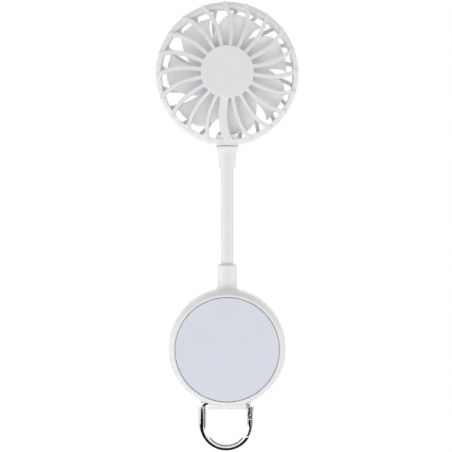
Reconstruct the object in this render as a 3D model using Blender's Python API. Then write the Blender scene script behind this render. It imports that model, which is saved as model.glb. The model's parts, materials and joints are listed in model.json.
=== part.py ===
"""Magnetic portable fan: a round base with a spring-gate clip, a bendable neck and a caged fan head.

Metres and degrees. The origin is the centre of the magnet plate's outer face. -Y points out of that face
(the fan's rear, where air goes in), +Y is the air outlet side, and +Z runs up the neck to the head.
"""

import math

import bmesh
import bpy
from mathutils import Vector

# Clearances and cutting allowances
GAP = 0.0003                    # air between two pieces that seat on or run in each other
RUN_PAST = 0.0010               # how far a cutter runs out beyond the face that it opens
ROOTED = 0.0004                 # how far a boss, rib or spoke is sunk into the wall that carries it
MERGE = 0.0000005
SHARP_ANGLE = 32.0

# Magnetic base: two shells that part in the plane of the neck and of the clip's bar
BASE_RADIUS = 0.0300
BASE_DEPTH = 0.0170
SEAM_Y = 0.0100
REAR_ROUND = 0.0030             # radial width of the long soft edge behind the seam
FRONT_ROUND = 0.0040            # the same in front of the seam
BASE_WALL = 0.0016
RIM_LAND = 0.00065              # flat rim between the rear edge's round and the plate's recess
REAR_FLOOR = 0.0013             # plastic between the magnet pocket and the inside
WELL_WALL = 0.0014              # plastic between the magnet pocket and the centre well
BASE_SIDES = 40
MAGNET_SIDES = 20

# Magnet plate, magnet ring and its steel shield
PLATE_THICKNESS = 0.0010
PLATE_EDGE = 0.0002
PLATE_GROOVE = 0.00035          # open groove between the plate and the rear shell's rim
MAGNET_WIDTH = 0.0071           # from the ring's bore to its outside
MAGNET_TO_SCREWS = 0.0028       # from the magnet's outside to the screws' circle
MAGNET_THICKNESS = 0.0021
SHIELD_THICKNESS = 0.0006

# Screws that hold the two shells together, under the plate
SCREW_INSET = 0.0018            # from the plate's edge in to the screws' circle
SCREW_ANGLES = (35.0, 145.0, 215.0, 325.0)
SCREW_HEAD_RADIUS = 0.0015
SCREW_HEAD_HEIGHT = 0.0010
SCREW_SHANK_RADIUS = 0.00085
SCREW_TIP_WALL = 0.0027         # plastic between the end of a screw's hole and the front
COUNTERBORE_DEPTH = 0.0016
SCREW_BOSS_WALL = 0.00105

# Battery, circuit board and what stands on it
BATTERY_WIDTH = 0.0300
BATTERY_HEIGHT = 0.0220
BATTERY_ROOM = 0.0004           # free space between the cell and the board
BATTERY_CENTRE_Z = -0.0030
BATTERY_ROUND = 0.0014
BOARD_ROOM = 0.0006             # free space between the board and the screw bosses
BOARD_THICKNESS = 0.0010
BOARD_INSET = 0.0064            # from the base's front in to the board's rear
BOARD_TONGUE_HALF = 0.0060
BOARD_TONGUE_INSET = 0.0035
BOARD_POST_X = 0.0120
BOARD_POST_Z = 0.0115
BOARD_REST_Z = -0.0175
BOARD_POST_RADIUS = 0.0018
BOARD_SCREW_HEAD_RADIUS = 0.0015
BOARD_SCREW_HEAD_HEIGHT = 0.0012
BOARD_SCREW_SHANK_RADIUS = 0.0007
BOARD_SCREW_LENGTH = 0.0036
USB_WIDTH = 0.00894
USB_HEIGHT = 0.00326
USB_DEPTH = 0.0073
USB_MOUTH_INSET = 0.0020        # from the base's side in to the socket's mouth
USB_SHELL = 0.0003
USB_TONGUE_WIDTH = 0.0067
USB_TONGUE_THICKNESS = 0.0007
LED_SIZE = 0.0016
LED_HEIGHT = 0.0006
LED_Z = 0.0110
LIGHT_PIPE_RADIUS = 0.0008
LIGHT_PIPE_FLANGE_RADIUS = 0.0016
LIGHT_PIPE_FLANGE = 0.0007

# Power button and the switch under it
BUTTON_RADIUS = 0.0060
BUTTON_PROUD = 0.0006
BUTTON_EDGE = 0.0004
BUTTON_FLANGE_WIDTH = 0.0012
BUTTON_FLANGE = 0.0007
BUTTON_CROWN = 0.0012           # thickness of the button's face over its hollow
BUTTON_SKIRT = 0.0012
BUTTON_STEM_RADIUS = 0.0015
BUTTON_TRAVEL = 0.0005
BUTTON_SIDES = 22
SWITCH_WIDTH = 0.0060
SWITCH_HEIGHT = 0.0012
PLUNGER_RADIUS = 0.0009

# Neck socket on the base
SOCKET_WALL = 0.00145
SOCKET_RISE = 0.0125            # from the base's edge to the socket's mouth
SOCKET_CHAMFER = 0.0009
SOCKET_BORE_DEPTH = 0.0082
FLARE_TOP = 0.0022              # above the base's edge, where the flare leaves the socket's side
FLARE_HEIGHT = 0.0037
FLARE_SPREAD_X = 0.00295
FLARE_SPREAD_Y = 0.00095
CABLE_HOLE_RADIUS = 0.0020
SOCKET_SIDES = 18

# Bendable neck: a smooth sleeve over a chain of links, every second joint turned a quarter turn
NECK_LENGTH = 0.04955           # bare sleeve between the socket's mouth and the collar
NECK_JOINTS = 14
SLEEVE_RADIUS = 0.0032
SLEEVE_WALL = 0.00055
LINK_ROOM = 0.0004              # free space between the links and the sleeve
LINK_BORE = 0.00135
LINK_SPACE = 0.00065            # open space between two links, which lets them tilt
FERRULE_FLANGE = 0.0011
NECK_SIDES = 20
LINK_SIDES = 10

# Motor cable, from the board up the neck and down the wide spoke
CABLE_RADIUS = 0.0008
CABLE_SPACING = 0.0036          # between the points of its curve
CABLE_TAIL_LOW_Z = 0.0150
CABLE_TAIL_HIGH_Z = 0.0194
CABLE_STRAIGHT_Z = 0.0290       # from here up it lies in the neck's axis
CABLE_BEND_RISE = 0.0006        # from the head's foot up to where it bends to the rear
CABLE_BEND_Y = 0.0041
CABLE_BEND_Z = 0.0040

# Collar between the neck and the head
COLLAR_WALL = 0.00095
COLLAR_STRAIGHT = 0.00645
COLLAR_CONE = 0.0028
COLLAR_FLANGE_RADIUS = 0.0055
COLLAR_FLANGE = 0.0013
COLLAR_BORE_DEPTH = 0.00765
STEM_RADIUS = 0.0030
STEM_BORE = 0.0022
STEM_LENGTH = 0.0030
STEM_RIM_RADIUS = 0.0040
STEM_RIM = 0.0010

# Head: a rear and a front guard whose rings lap at their seam
RING_RADIUS = 0.0363
REAR_RING_WIDTH = 0.00255
FRONT_RING_FLARE = 0.0010        # how far the ring's inner wall opens towards its front
FRONT_RING_WIDTH = 0.00285
RING_CORNER = 0.0004
REAR_RING_Y = 0.0040            # rear face of the ring at its inner edge
FRONT_RING_Y = 0.0160           # front face of the ring at its inner edge
RING_FALL = 0.0010              # how far the ring's faces fall back towards its outer corner
RING_CHAMFER = 0.0006
RING_SEAM_Y = 0.0120
LIP_LENGTH = 0.00235
LIP_WALL = 0.00085
DISC_RIM = 0.0021               # from the motor's cup out to the disc's edge
DISC_THICKNESS = 0.0014
DISC_EDGE = 0.0004
REAR_DISC_Y = 0.0006
MOTOR_CUP_WALL = 0.0009
MOTOR_CUP_DEPTH = 0.0040
RING_SIDES = 40
DISC_SIDES = 28

# Guard spokes, which swirl one way behind the blades and the other way in front
SPOKE_COUNT = 20
SPOKE_FIRST_ANGLE = 84.0
FRONT_SPOKE_FIRST_ANGLE = 17.4
SPOKE_SWEEP = 12.0
SPOKE_DIP = 4.0
SPOKE_RIM_INSET = 0.0012        # from the ring's outside in to where the spokes' curve ends
SPOKE_ROOT = 0.0010             # how far the spokes reach in over the centre disc
SPOKE_WIDTH = 0.00185
SPOKE_DEPTH = 0.0026
SPOKE_REAR_Y = 0.0010           # rear edge of a spoke beside the centre disc
SPOKE_SLOPE = 0.125             # how fast the spokes' edges fall back towards the ring
SPOKE_END_INSET = 0.0003        # from the ring's outside in to the narrow spokes' ends
SPOKE_STATIONS = 5
CABLE_SPOKE = 10                # this spoke of the rear guard is wide and carries the motor's cable
CABLE_SPOKE_WIDTH = 0.0043
CABLE_SPOKE_DEPTH = 0.0029
CABLE_CHANNEL_WIDTH = 0.0022
CABLE_CHANNEL_SKIN = 0.00085
CABLE_CHANNEL_BITE = 0.0001     # how far the cable's channel cuts into the centre disc

# Neck boss at the foot of the head, split between the guards in the neck's plane
BOSS_WIDTH = 0.0112
BOSS_REAR_Y = 0.0046
BOSS_DROP = 0.0004              # how far the boss reaches below the ring
BOSS_HEIGHT = 0.0053
BOSS_SLOT_WIDTH = 0.0036

# Motor
MOTOR_RADIUS = 0.0100
MOTOR_CAP_THICKNESS = 0.0015
MOTOR_CAN_LENGTH = 0.0072
MOTOR_CAN_WALL = 0.0008
MOTOR_NOSE_RADIUS = 0.0030
MOTOR_NOSE = 0.0007
MOTOR_MAGNET_WALL = 0.0013
MOTOR_MAGNET_LENGTH = 0.0050
ARMATURE_RADIUS = 0.0070
ARMATURE_LENGTH = 0.0042
ARMATURE_SHOE = 0.0012
ARMATURE_ARM = 0.0024
ARMATURE_HUB_RADIUS = 0.0026
ARMATURE_POLES = 3
ARMATURE_SHOE_SPAN = 92.0
SHAFT_RADIUS = 0.0010
BUSH_RADIUS = 0.0025
BUSH_LENGTH = 0.0024
MOTOR_SIDES = 20

# Impeller
BLADE_COUNT = 7
BLADE_FIRST_ANGLE = 71.4
BLADE_TIP_ROOM = 0.00255        # from the blades' tips to the front ring
BLADE_HALF_ANGLE = 17.0
BLADE_SWEEP_RATE = 2150.0       # degrees of the leading edge's sweep for each metre in from the tip
BLADE_HEEL_TURN = 7.0           # the trailing edge turns this far, mostly near the tip
BLADE_HEEL_REACH = 0.0035       # how quickly it does so
BLADE_LEAD_INSET = 0.0002       # from the hub's rear edge
BLADE_TRAIL_INSET = 0.0025      # from the hub's front
BLADE_CAMBER = 0.0005
BLADE_ROOT_THICKNESS = 0.0012
BLADE_TIP_THICKNESS = 0.0008
BLADE_TRAIL_SHARE = 0.45        # thickness at the trailing edge, as a share of the blade's
BLADE_LEAD_SHARE = 0.15         # how much thicker the leading edge is
BLADE_BELLY = 1.6
BLADE_CORNER = 0.0025
BLADE_CHORD_STEPS = 4
BLADE_STATIONS = 6
HUB_ROOM = 0.0010               # free space between the motor and the hub
HUB_WALL = 0.0010
HUB_LIFT = 0.0008               # from the motor's cup to the hub's rear edge
HUB_SPACE = 0.0006              # from the motor's nose to the hub's boss
HUB_FACE = 0.0012
HUB_EDGE = 0.0008
HUB_BOSS_RADIUS = 0.0025
HUB_BOSS_LENGTH = 0.0019

# Spring-gate clip, which swings on the bar that the two shells trap
CLIP_BAR_INSET = 0.0018         # from the base's edge in to the bar's centre
CLIP_HALF_WIDTH = 0.0122
CLIP_REST_X = -0.0005           # where the clip rests along its bar
CLIP_LEG = 0.0112               # from the bar's centre to the centre of the round bottom
CLIP_WIRE = 0.00185
CLIP_CORNER = 0.00245
CLIP_SIDES = 12
CLIP_WALL = 0.00145             # plastic between the bar's hole and the inside of the base
TAB_ROOM = 0.0008               # free space between the tab and the clip's legs
TAB_DEPTH = 0.0100
TAB_LIP = 0.00105               # plastic below the bar's hole
TAB_ROUND = 0.0022
NOTCH_ROOM = 0.00125
NOTCH_LIFT = 0.00015            # how far the notches beside the tab rise above the bar's hole
GATE_PIN_DROP = 0.0067
GATE_PIN_RADIUS = 0.00055
GATE_PIN_INSET = 0.00015
GATE_WIRE = 0.00145
GATE_TONGUE = 0.0013
GATE_TONGUE_RADIUS = 0.0017
GATE_SHOULDER = 0.0022          # from the pin down to the gate's round body
GATE_SPLIT_DROP = 0.0178        # from the bar down to the split at the gate's tip
GATE_SLOT_ROOM = 0.0006
CLIP_OVERRUN = 6.0              # degrees that both wires run on before they are cut at the split
SPRING_RADIUS = 0.0005
SPRING_WIRE = 0.00012
SPRING_LENGTH = 0.0014
SPRING_TURNS = 3
SPRING_TURN_STEPS = 8

# Places that follow from the sizes above
RECESS_Y = PLATE_THICKNESS + GAP
RECESS_RADIUS = BASE_RADIUS - REAR_ROUND - RIM_LAND
PLATE_RADIUS = RECESS_RADIUS - PLATE_GROOVE
SCREW_CIRCLE = PLATE_RADIUS - SCREW_INSET
SCREW_LENGTH = BASE_DEPTH - SCREW_TIP_WALL - RECESS_Y - COUNTERBORE_DEPTH + SCREW_HEAD_HEIGHT
SCREW_BOSS_RADIUS = SCREW_SHANK_RADIUS + GAP + SCREW_BOSS_WALL
MAGNET_OUTER = SCREW_CIRCLE - MAGNET_TO_SCREWS
MAGNET_INNER = MAGNET_OUTER - MAGNET_WIDTH
SHIELD_Y = RECESS_Y + MAGNET_THICKNESS + GAP
POCKET_Y = SHIELD_Y + SHIELD_THICKNESS + GAP
FLOOR_Y = POCKET_Y + REAR_FLOOR
WELL_RADIUS = MAGNET_INNER - GAP - WELL_WALL
ROOF_Y = BASE_DEPTH - BASE_WALL
BAR_Z = CLIP_BAR_INSET - BASE_RADIUS
BAR_HOLE = CLIP_WIRE + GAP
TAB_WIDTH = 2 * (CLIP_HALF_WIDTH - CLIP_WIRE - TAB_ROOM)
SOCKET_TOP_Z = BASE_RADIUS + SOCKET_RISE
SOCKET_FLOOR_Z = SOCKET_TOP_Z - SOCKET_BORE_DEPTH
NECK_BORE = SLEEVE_RADIUS + GAP
SOCKET_RADIUS = NECK_BORE + SOCKET_WALL
COLLAR_RADIUS = NECK_BORE + COLLAR_WALL
LINK_RADIUS = SLEEVE_RADIUS - SLEEVE_WALL - LINK_ROOM
LINK_PITCH = NECK_LENGTH / NECK_JOINTS
COLLAR_Z = SOCKET_TOP_Z + NECK_LENGTH
COLLAR_TOP_Z = COLLAR_Z + COLLAR_STRAIGHT + COLLAR_CONE + COLLAR_FLANGE
COLLAR_FLOOR_Z = COLLAR_Z + COLLAR_BORE_DEPTH
HEAD_Z = COLLAR_TOP_Z + GAP + BOSS_DROP + RING_RADIUS
BOARD_RADIUS = SCREW_CIRCLE - SCREW_BOSS_RADIUS - BOARD_ROOM
BOARD_TONGUE_REACH = BASE_RADIUS - BOARD_TONGUE_INSET
BOARD_REAR_Y = BASE_DEPTH - BOARD_INSET
BOARD_FRONT_Y = BOARD_REAR_Y + BOARD_THICKNESS
BATTERY_THICKNESS = BOARD_REAR_Y - BATTERY_ROOM - FLOOR_Y - GAP
USB_MOUTH_X = BASE_RADIUS - USB_MOUTH_INSET
ON_BOARD_Y = BOARD_FRONT_Y + GAP
REAR_RING_INNER = RING_RADIUS - REAR_RING_WIDTH
FRONT_RING_INNER = RING_RADIUS - FRONT_RING_WIDTH
DISC_RADIUS = MOTOR_RADIUS + GAP + MOTOR_CUP_WALL + DISC_RIM
DISC_FRONT_Y = REAR_DISC_Y + DISC_THICKNESS
MOTOR_REAR_Y = DISC_FRONT_Y + GAP
CAN_REAR_Y = MOTOR_REAR_Y + MOTOR_CAP_THICKNESS + GAP
CAN_FRONT_Y = CAN_REAR_Y + MOTOR_CAN_LENGTH
SHAFT_BORE = SHAFT_RADIUS + GAP
HUB_RADIUS = MOTOR_RADIUS + HUB_ROOM + HUB_WALL
HUB_REAR_Y = DISC_FRONT_Y + MOTOR_CUP_DEPTH + HUB_LIFT
HUB_FRONT_Y = CAN_FRONT_Y + MOTOR_NOSE + HUB_SPACE + HUB_BOSS_LENGTH + HUB_FACE
BLADE_TIP_RADIUS = FRONT_RING_INNER - BLADE_TIP_ROOM
BLADE_LEAD_Y = HUB_REAR_Y + BLADE_LEAD_INSET
BLADE_TRAIL_Y = HUB_FRONT_Y - BLADE_TRAIL_INSET
NECK_AXIS = Vector((0.0, SEAM_Y, 0.0))


def material(name, colour, roughness=0.45, metallic=0.0):
    """A Principled material in one colour."""
    finish = bpy.data.materials.new(name)
    finish.use_nodes = True
    shader = finish.node_tree.nodes["Principled BSDF"]
    shader.inputs["Base Color"].default_value = (*colour, 1.0)
    shader.inputs["Roughness"].default_value = roughness
    shader.inputs["Metallic"].default_value = metallic
    return finish


def solid_mesh(bm, name):
    """Closes a bmesh's joins, turns its faces outwards and makes a mesh of it."""
    bmesh.ops.remove_doubles(bm, verts=bm.verts, dist=MERGE)
    bmesh.ops.recalc_face_normals(bm, faces=bm.faces)
    mesh = bpy.data.meshes.new(name)
    bm.to_mesh(mesh)
    bm.free()
    mesh.shade_smooth()
    mesh.set_sharp_from_angle(angle=math.radians(SHARP_ANGLE))
    return mesh


def spin_profile(bm, profile, axis, sides, centre=(0.0, 0.0, 0.0), turn=0.0):
    """Turns (radius, along) points about an axis. A profile that starts on the axis is left open there."""
    along = {"X": Vector((1, 0, 0)), "Y": Vector((0, 1, 0)), "Z": Vector((0, 0, 1))}[axis]
    out = {"X": Vector((0, 0, 1)), "Y": Vector((1, 0, 0)), "Z": Vector((1, 0, 0))}[axis]
    side = along.cross(out)
    angle = math.radians(turn)
    out = out * math.cos(angle) + side * math.sin(angle)
    centre = Vector(centre)
    verts = [bm.verts.new(centre + out * radius + along * height) for radius, height in profile]
    edges = [bm.edges.new(pair) for pair in zip(verts, verts[1:])]
    if profile[0][0] > MERGE:
        edges.append(bm.edges.new((verts[-1], verts[0])))
    bmesh.ops.spin(bm, geom=verts + edges, cent=centre, axis=along, dvec=(0, 0, 0),
                   angle=math.tau, steps=sides, use_merge=True)


def turned(name, profile, axis="Y", sides=BASE_SIDES, centre=(0.0, 0.0, 0.0), turn=0.0):
    bm = bmesh.new()
    spin_profile(bm, profile, axis, sides, centre, turn)
    return solid_mesh(bm, name)


def rod(name, radius, low, high, axis="Y", sides=16, centre=(0.0, 0.0, 0.0)):
    return turned(name, [(0, low), (radius, low), (radius, high), (0, high)], axis, sides, centre)


def tube(name, inner, outer, low, high, axis="Y", sides=24, centre=(0.0, 0.0, 0.0)):
    profile = [(inner, low), (outer, low), (outer, high), (inner, high)]
    return turned(name, profile, axis, sides, centre)


def add_box(bm, low, high):
    """Adds a box between two corners and returns its vertices."""
    low, high = Vector(low), Vector(high)
    verts = bmesh.ops.create_cube(bm, size=1.0)["verts"]
    bmesh.ops.scale(bm, vec=high - low, verts=verts)
    bmesh.ops.translate(bm, vec=(low + high) / 2, verts=verts)
    return verts


def box(name, low, high):
    bm = bmesh.new()
    add_box(bm, low, high)
    return solid_mesh(bm, name)


def extruded(name, outline, axis, low, high):
    """Extrudes a flat outline along an axis: (y, z) points for X, (x, z) for Y and (x, y) for Z."""
    place = {"X": lambda u, v: (low, u, v), "Y": lambda u, v: (u, low, v), "Z": lambda u, v: (u, v, low)}
    step = {"X": (high - low, 0, 0), "Y": (0, high - low, 0), "Z": (0, 0, high - low)}[axis]
    bm = bmesh.new()
    face = bm.faces.new([bm.verts.new(place[axis](u, v)) for u, v in outline])
    grown = bmesh.ops.extrude_face_region(bm, geom=[face], use_keep_orig=True)["geom"]
    bmesh.ops.translate(bm, vec=step, verts=[item for item in grown if isinstance(item, bmesh.types.BMVert)])
    return solid_mesh(bm, name)


def skin(name, rings):
    """A solid through matching rings of points. Its ends are closed by quads across the ring."""
    bm = bmesh.new()
    loops = [[bm.verts.new(point) for point in ring] for ring in rings]
    for near, far in zip(loops, loops[1:]):
        for index in range(len(near)):
            following = (index + 1) % len(near)
            bm.faces.new((near[index], near[following], far[following], far[index]))
    for loop in (loops[0], loops[-1]):
        last = len(loop) - 1
        for index in range(len(loop) // 2 - 1):
            bm.faces.new((loop[index], loop[index + 1], loop[last - index - 1], loop[last - index]))
    return solid_mesh(bm, name)


def arc(centre, semi, start, end, steps):
    """Points on an ellipse quarter or less, ends included."""
    angles = [math.radians(start + (end - start) * index / steps) for index in range(steps + 1)]
    return [(centre[0] + semi[0] * math.cos(a), centre[1] + semi[1] * math.sin(a)) for a in angles]


def rounded_outline(half_u, half_v, radius, steps=3):
    """A rectangle with round corners, about its own centre."""
    corners = ((1, 1, 0), (-1, 1, 90), (-1, -1, 180), (1, -1, 270))
    points = []
    for side_u, side_v, start in corners:
        centre = (side_u * (half_u - radius), side_v * (half_v - radius))
        points += arc(centre, (radius, radius), start, start + 90, steps)
    return points


def place(name, mesh, parent, finish=None, location=(0, 0, 0)):
    """Makes a node from a mesh, in its parent's frame."""
    node = bpy.data.objects.new(name, mesh)
    bpy.context.scene.collection.objects.link(node)
    node.parent = parent
    node.location = location
    if finish:
        node.data.materials.append(finish)
    return node


def tool(mesh, parent, location=(0, 0, 0)):
    """Makes a cutter or a part of a shape: it is used by a Boolean and isn't itself a piece."""
    form = bpy.data.objects.new(mesh.name, mesh)
    form.parent = parent
    form.location = location
    form.hide_render = True
    form.display_type = "WIRE"
    return form


def combine(target, operation, tools):
    """Joins, cuts or crosses a piece with all its tools in one exact Boolean."""
    group = bpy.data.collections.new(f"{target.name}_{operation.lower()}_{len(target.modifiers) + 1}")
    bpy.context.scene.collection.children.link(group)
    for form in tools:
        group.objects.link(form)
    step = target.modifiers.new(group.name, "BOOLEAN")
    step.operation = operation
    step.operand_type = "COLLECTION"
    step.collection = group
    step.solver = "EXACT"


def empty(name, parent, location, shown_as="ARROWS"):
    frame = bpy.data.objects.new(name, None)
    bpy.context.scene.collection.objects.link(frame)
    frame.empty_display_type = shown_as
    frame.empty_display_size = BASE_RADIUS / 4
    frame.parent = parent
    frame.location = location
    return frame


def polar(radius, degrees, y):
    """A point about the fan's axis: the angle runs from +X towards +Z."""
    angle = math.radians(degrees)
    return Vector((radius * math.cos(angle), y, radius * math.sin(angle)))


# Magnetic base


def turn_for(sine):
    """The angle of a sine in degrees. A sine that rounding leaves just past 1 counts as 1."""
    return math.degrees(math.asin(min(1.0, sine)))


def base_edge_profile(inset, rear_y, front_y, rear_steps, front_steps):
    """The base's side from rear_y to front_y: two quarter ellipses that meet at the seam, less a wall."""
    rear_centre = (BASE_RADIUS - REAR_ROUND, SEAM_Y)
    rear_semi = (REAR_ROUND - inset, SEAM_Y - inset)
    front_centre = (BASE_RADIUS - FRONT_ROUND, SEAM_Y)
    front_semi = (FRONT_ROUND - inset, BASE_DEPTH - SEAM_Y - inset)
    rear_start = -turn_for((SEAM_Y - rear_y) / rear_semi[1])
    front_end = turn_for((front_y - SEAM_Y) / front_semi[1])
    rear = arc(rear_centre, rear_semi, rear_start, 0, rear_steps)
    return rear + arc(front_centre, front_semi, 0, front_end, front_steps)[1:]


def socket_form(base):
    """The neck socket, which flares into the base's edge in a hollow curve."""
    top = SOCKET_TOP_Z
    flare_top = BASE_RADIUS + FLARE_TOP
    levels = [(BASE_RADIUS - BASE_WALL - SOCKET_RADIUS, 1.0), (flare_top - FLARE_HEIGHT, 1.0)]
    for index in range(1, 5):
        turn = math.radians(90 * index / 4)
        levels.append((flare_top - FLARE_HEIGHT * math.cos(turn), 1 - math.sin(turn)))
    levels += [(top - SOCKET_CHAMFER, 0.0), (top, -SOCKET_CHAMFER / FLARE_SPREAD_X)]
    rings = []
    for z, spread in levels:
        half_x = SOCKET_RADIUS + FLARE_SPREAD_X * spread
        half_y = SOCKET_RADIUS + (FLARE_SPREAD_Y if spread > 0 else FLARE_SPREAD_X) * spread
        turns = [math.tau * side / SOCKET_SIDES for side in range(SOCKET_SIDES)]
        rings.append([(half_x * math.cos(a), SEAM_Y + half_y * math.sin(a), z) for a in turns])
    return tool(skin("socket_form", rings), base)


def tab_form(base):
    """The straight-bottomed tab around the clip's bar, with its long edges rounded."""
    half_depth = TAB_DEPTH / 2
    bottom = BAR_Z - BAR_HOLE - TAB_LIP
    top = BAR_Z + BAR_HOLE + CLIP_WALL / 2
    rear, front = SEAM_Y - half_depth, SEAM_Y + half_depth
    outline = [(front, top), (rear, top)]
    outline += arc((rear + TAB_ROUND, bottom + TAB_ROUND), (TAB_ROUND, TAB_ROUND), 180, 270, 4)
    outline += arc((front - TAB_ROUND, bottom + TAB_ROUND), (TAB_ROUND, TAB_ROUND), 270, 360, 4)
    return tool(extruded("tab_form", outline, "X", -TAB_WIDTH / 2, TAB_WIDTH / 2), base)


def base_form(base):
    """The outer shape that the two shells share."""
    profile = [(0, 0)] + base_edge_profile(0.0, 0.0, BASE_DEPTH, 4, 4) + [(0, BASE_DEPTH)]
    form = tool(turned("base_form", profile), base)
    bpy.context.scene.collection.objects.link(form)
    combine(form, "UNION", [socket_form(base), tab_form(base)])
    return form


def cavity_form(base):
    """The hollow inside both shells, flat above the clip's bar, less the screw bosses and board posts."""
    profile = [(0, RECESS_Y + REAR_FLOOR), (WELL_RADIUS, RECESS_Y + REAR_FLOOR), (WELL_RADIUS, FLOOR_Y)]
    profile += base_edge_profile(BASE_WALL, FLOOR_Y, ROOF_Y, 2, 2) + [(0, ROOF_Y)]
    form = tool(turned("cavity_form", profile), base)
    bpy.context.scene.collection.objects.link(form)
    floor_z = BAR_Z + BAR_HOLE + CLIP_WALL
    low = (-BASE_RADIUS, -RUN_PAST, -BASE_RADIUS - RUN_PAST)
    kept = [box("cavity_floor", low, (BASE_RADIUS, BASE_DEPTH, floor_z))]
    kept += [rod("screw_boss", SCREW_BOSS_RADIUS, 0, BASE_DEPTH, "Y", 12, spot) for spot in screw_places()]
    for spot in board_posts() + [(0.0, 0.0, BOARD_REST_Z)]:
        kept.append(rod("board_post", BOARD_POST_RADIUS, ON_BOARD_Y, BASE_DEPTH, "Y", 10, spot))
    combine(form, "DIFFERENCE", [tool(mesh, base) for mesh in kept])
    return form


def shared_cutters(base, side):
    """What is cut from both shells: the neck's bore, the cable's hole, the bar's hole and two notches."""
    mouth = SOCKET_TOP_Z + RUN_PAST
    bore = rod("socket_bore", NECK_BORE, SOCKET_FLOOR_Z, mouth, "Z", SOCKET_SIDES, NECK_AXIS)
    cable_low = BASE_RADIUS - 2 * BASE_WALL - SOCKET_RADIUS
    hole = rod("cable_hole", CABLE_HOLE_RADIUS, cable_low, SOCKET_TOP_Z, "Z", 16, NECK_AXIS)
    reach = TAB_WIDTH / 2 + RUN_PAST
    bar = rod("bar_hole", BAR_HOLE, -reach, reach, "X", 16, (0, SEAM_Y, BAR_Z))
    cutters = [bore, hole, bar]
    near, far = TAB_WIDTH / 2, CLIP_HALF_WIDTH + CLIP_WIRE + NOTCH_ROOM
    for name, low_x, high_x in (("left_notch", -far, -near), ("right_notch", near, far)):
        low = (low_x, SEAM_Y - TAB_DEPTH / 2, -BASE_RADIUS - RUN_PAST)
        cutters.append(box(name, low, (high_x, SEAM_Y + TAB_DEPTH / 2, BAR_Z + BAR_HOLE + NOTCH_LIFT)))
    for mesh in cutters:
        mesh.name = f"{side}_{mesh.name}"
    return [tool(mesh, base) for mesh in cutters]


def screw_places():
    return [polar(SCREW_CIRCLE, angle, 0.0) for angle in SCREW_ANGLES]


def board_posts():
    return [(side * BOARD_POST_X, 0.0, BOARD_POST_Z) for side in (-1, 1)]


def rear_housing(base, form, cavity, finish):
    low = (-2 * BASE_RADIUS, -RUN_PAST, -2 * BASE_RADIUS)
    high = (2 * BASE_RADIUS, SEAM_Y - GAP / 2, 2 * BASE_RADIUS)
    shell = place("rear_housing", box("rear_housing", low, high), base, finish)
    combine(shell, "INTERSECT", [form])
    cuts = [rod("plate_recess", RECESS_RADIUS, -RUN_PAST, RECESS_Y, "Y", BASE_SIDES)]
    low, high = RECESS_Y - ROOTED, POCKET_Y
    cuts.append(tube("magnet_pocket", MAGNET_INNER - GAP, MAGNET_OUTER + GAP, low, high, "Y", MAGNET_SIDES))
    bore = SCREW_SHANK_RADIUS + GAP
    seat = SCREW_HEAD_RADIUS + GAP
    floor = RECESS_Y + COUNTERBORE_DEPTH
    profile = [(0, RECESS_Y - ROOTED), (seat, RECESS_Y - ROOTED), (seat, floor), (bore, floor)]
    profile += [(bore, SEAM_Y + RUN_PAST), (0, SEAM_Y + RUN_PAST)]
    cuts += [turned("rear_screw_hole", profile, "Y", 10, spot) for spot in screw_places()]
    cuts = [tool(mesh, base) for mesh in cuts]
    combine(shell, "DIFFERENCE", [cavity] + shared_cutters(base, "rear") + cuts)
    return shell


def front_housing(base, form, cavity, finish):
    low = (-2 * BASE_RADIUS, SEAM_Y + GAP / 2, -2 * BASE_RADIUS)
    high = (2 * BASE_RADIUS, BASE_DEPTH + RUN_PAST, 2 * BASE_RADIUS)
    shell = place("front_housing", box("front_housing", low, high), base, finish)
    combine(shell, "INTERSECT", [form])
    screw_end = RECESS_Y + COUNTERBORE_DEPTH - SCREW_HEAD_HEIGHT + SCREW_LENGTH
    bore = SCREW_SHANK_RADIUS + GAP
    cuts = [rod("front_screw_hole", bore, SEAM_Y, screw_end, "Y", 10, spot) for spot in screw_places()]
    post_bore = BOARD_SCREW_SHANK_RADIUS + GAP
    post_end = BOARD_REAR_Y + BOARD_SCREW_LENGTH
    cuts += [rod("post_hole", post_bore, BOARD_REAR_Y, post_end, "Y", 10, spot) for spot in board_posts()]
    past = BASE_DEPTH + RUN_PAST
    cuts.append(rod("button_opening", BUTTON_RADIUS + GAP, ROOF_Y - RUN_PAST, past, "Y", BUTTON_SIDES))
    light = (0, 0, LED_Z)
    cuts.append(rod("light_hole", LIGHT_PIPE_RADIUS + GAP, ROOF_Y - RUN_PAST, past, "Y", 10, light))
    centre_y = ON_BOARD_Y + USB_HEIGHT / 2
    outline = rounded_outline(USB_HEIGHT / 2 + GAP, USB_WIDTH / 2 + GAP, USB_HEIGHT / 2, 3)
    outline = [(centre_y + u, v) for u, v in outline]
    cuts.append(extruded("usb_opening", outline, "X", USB_MOUTH_X - USB_DEPTH / 2, BASE_RADIUS + RUN_PAST))
    cuts = [tool(mesh, base) for mesh in cuts]
    combine(shell, "DIFFERENCE", [cavity] + shared_cutters(base, "front") + cuts)
    return shell


def screw_profile(start, head_radius, head_height, shank_radius, length):
    """A pan-head screw whose head starts at start and whose tip is length further on."""
    neck = start + head_height
    end = start + length
    edge = head_height / 3
    return [(0, start), (head_radius - edge, start), (head_radius, start + edge), (head_radius, neck),
            (shank_radius, neck), (shank_radius, end - shank_radius), (0, end)]


def screws(name, profile, sides, spots, base, finish):
    """Identical screws: one node each, all with the same mesh."""
    mesh = turned(name, profile, "Y", sides)
    mesh.materials.append(finish)
    for number, spot in enumerate(spots, 1):
        place(f"{name}_{number}", mesh, base, None, spot)


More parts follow.
